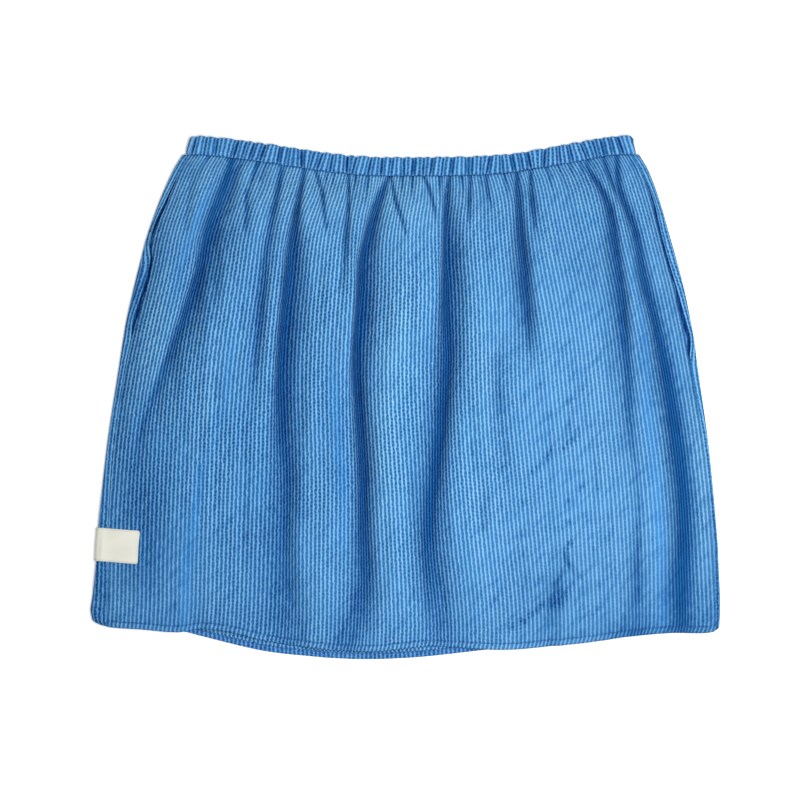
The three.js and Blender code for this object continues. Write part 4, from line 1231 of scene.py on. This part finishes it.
# ---- Stitches ----
def model_stitch():
    """One stitch along Z: a short thread that narrows into the cloth at both ends."""
    bpy.ops.object.select_all(action="DESELECT")
    bpy.ops.mesh.primitive_cylinder_add(vertices=8, radius=STITCH_THICK / 2, depth=STITCH_LENGTH * 0.6)
    piece = bpy.context.object
    for way in (-1, 1):
        bpy.ops.object.mode_set(mode="EDIT")
        bpy.ops.mesh.select_mode(type="FACE")
        bpy.ops.mesh.select_all(action="DESELECT")
        bpy.ops.object.mode_set(mode="OBJECT")
        for face in piece.data.polygons:
            face.select = face.normal.z * way > 0.9
        bpy.ops.object.mode_set(mode="EDIT")
        step = {"value": (0, -0.16, way * STITCH_LENGTH * 0.2)}
        bpy.ops.mesh.extrude_region_move(TRANSFORM_OT_translate=step)
        bpy.ops.transform.resize(value=(0.6, 0.6, 1))
        bpy.ops.object.mode_set(mode="OBJECT")
    points = np.array([v.co for v in piece.data.vertices])
    faces = [list(face.vertices) for face in piece.data.polygons]
    starts = [face.index(min(face)) for face in faces]
    bpy.data.objects.remove(piece, do_unlink=True)
    return points, sorted(face[k:] + face[:k] for face, k in zip(faces, starts))


def stitch_row(name, line, up=1.0):
    """Copies of the stitch along a line of points, joined into one piece."""
    shape, faces = model_stitch()
    run = np.concatenate([[0], np.cumsum(np.linalg.norm(np.diff(line, axis=0), axis=1))])
    centres = np.arange(STITCH_STEP, run[-1] - STITCH_STEP, STITCH_STEP)
    at = lambda places: np.stack([np.interp(places, run, line[:, k]) for k in range(3)], -1)
    ahead = at(centres + STITCH_LENGTH / 2) - at(centres - STITCH_LENGTH / 2)
    ahead /= np.linalg.norm(ahead, axis=1, keepdims=True)
    side = np.cross(np.array([0.0, 0.0, up]), ahead)
    side /= np.linalg.norm(side, axis=1, keepdims=True)
    over = np.cross(ahead, side)
    points = at(centres)[:, None, :] + sum(
        shape[None, :, k, None] * axis[:, None, :] for k, axis in enumerate((side, over, ahead))
    )
    every = [[v + k * len(shape) for v in face] for k in range(len(centres)) for face in faces]
    mesh = bpy.data.meshes.new(name)
    mesh.from_pydata((points.reshape(-1, 3) * MM).tolist(), [], every)
    piece = add_object(name, mesh, thread)


def stitches():
    t = np.linspace(TURN_INSET, 1 - TURN_INSET, 1200)
    across = mix(BAND_LEFT + 2, BAND_RIGHT - 2, t)
    down = seam_down(across) - 0.1
    front = np.minimum(front_height(across, down + 0.5), WAIST_STITCH_TOP)
    stitch_row("waist_stitches_front", np.stack([across, to_y(down), front], -1))
    back = np.full_like(across, WAIST_STITCH_LOW)
    stitch_row("waist_stitches_back", np.stack([across, to_y(down), back], -1), up=-1.0)
    across, down = front_positions(np.array([[1 - HEM_TURN / FRONT_DROP]]), t[None, :])
    height = front_height(across, down) - HEM_STITCH_SUNK + STITCH_THICK / 3
    stitch_row("hem_stitches_front", np.stack([across[0], to_y(down[0]), height[0]], -1))
    across = mix(-BACK_STITCHES, BACK_STITCHES, t)
    down = hem_back(across) - HEM_TURN + 0.8
    inside = 2 * CLOTH + SEAM_GAP + cloth_lift(across, down)
    stitch_row("hem_stitches_back", np.stack([across, to_y(down), inside], -1))


front_panel()
back_panel()
waistband()
pockets()
label()
stitches()


# ---- Room ----
def add_camera():
    data = bpy.data.cameras.new("view")
    data.lens = VIEW_LENS
    data.sensor_width = VIEW_SENSOR
    camera = bpy.data.objects.new("view", data)
    distance = VIEW_WIDTH * VIEW_LENS / VIEW_SENSOR
    camera.location = (VIEW_MIDDLE[0] * MM, VIEW_MIDDLE[1] * MM, (VIEW_LEVEL + distance) * MM)
    bpy.context.scene.collection.objects.link(camera)
    bpy.context.scene.camera = camera


def add_floor():
    mesh = bpy.data.meshes.new("table")
    ways = ((-1, -1), (1, -1), (1, 1), (-1, 1))
    mesh.from_pydata([(x * FLOOR_REACH, y * FLOOR_REACH, FLOOR_LEVEL) for x, y in ways], [], [(0, 1, 2, 3)])
    floor = bpy.data.objects.new("table", mesh)
    bpy.context.scene.collection.objects.link(floor)
    n = Nodes("table_top")
    n.shader.inputs["Base Color"].default_value = (*FLOOR_GREY, 1)
    n.shader.inputs["Roughness"].default_value = 0.9
    n.shader.inputs["Emission Color"].default_value = (1, 1, 1, 1)
    n.shader.inputs["Emission Strength"].default_value = FLOOR_GLOW
    mesh.materials.append(n.material)


def add_lamp():
    data = bpy.data.lights.new("overhead", "AREA")
    data.shape = "SQUARE"
    data.size = LAMP_SIZE
    data.energy = LAMP_POWER
    lamp = bpy.data.objects.new("overhead", data)
    lamp.location = LAMP_PLACE
    lamp.rotation_euler = (-Vector(LAMP_PLACE)).to_track_quat("-Z", "Y").to_euler()
    lamp.visible_camera = False
    bpy.context.scene.collection.objects.link(lamp)


def add_world():
    world = bpy.data.worlds.new("room")
    world.use_nodes = True
    world.node_tree.nodes["Background"].inputs[0].default_value = (1, 1, 1, 1)
    world.node_tree.nodes["Background"].inputs[1].default_value = WORLD_LIGHT
    bpy.context.scene.world = world


add_camera()
add_floor()
add_lamp()
add_world()
bpy.context.scene.view_settings.view_transform = "Standard"
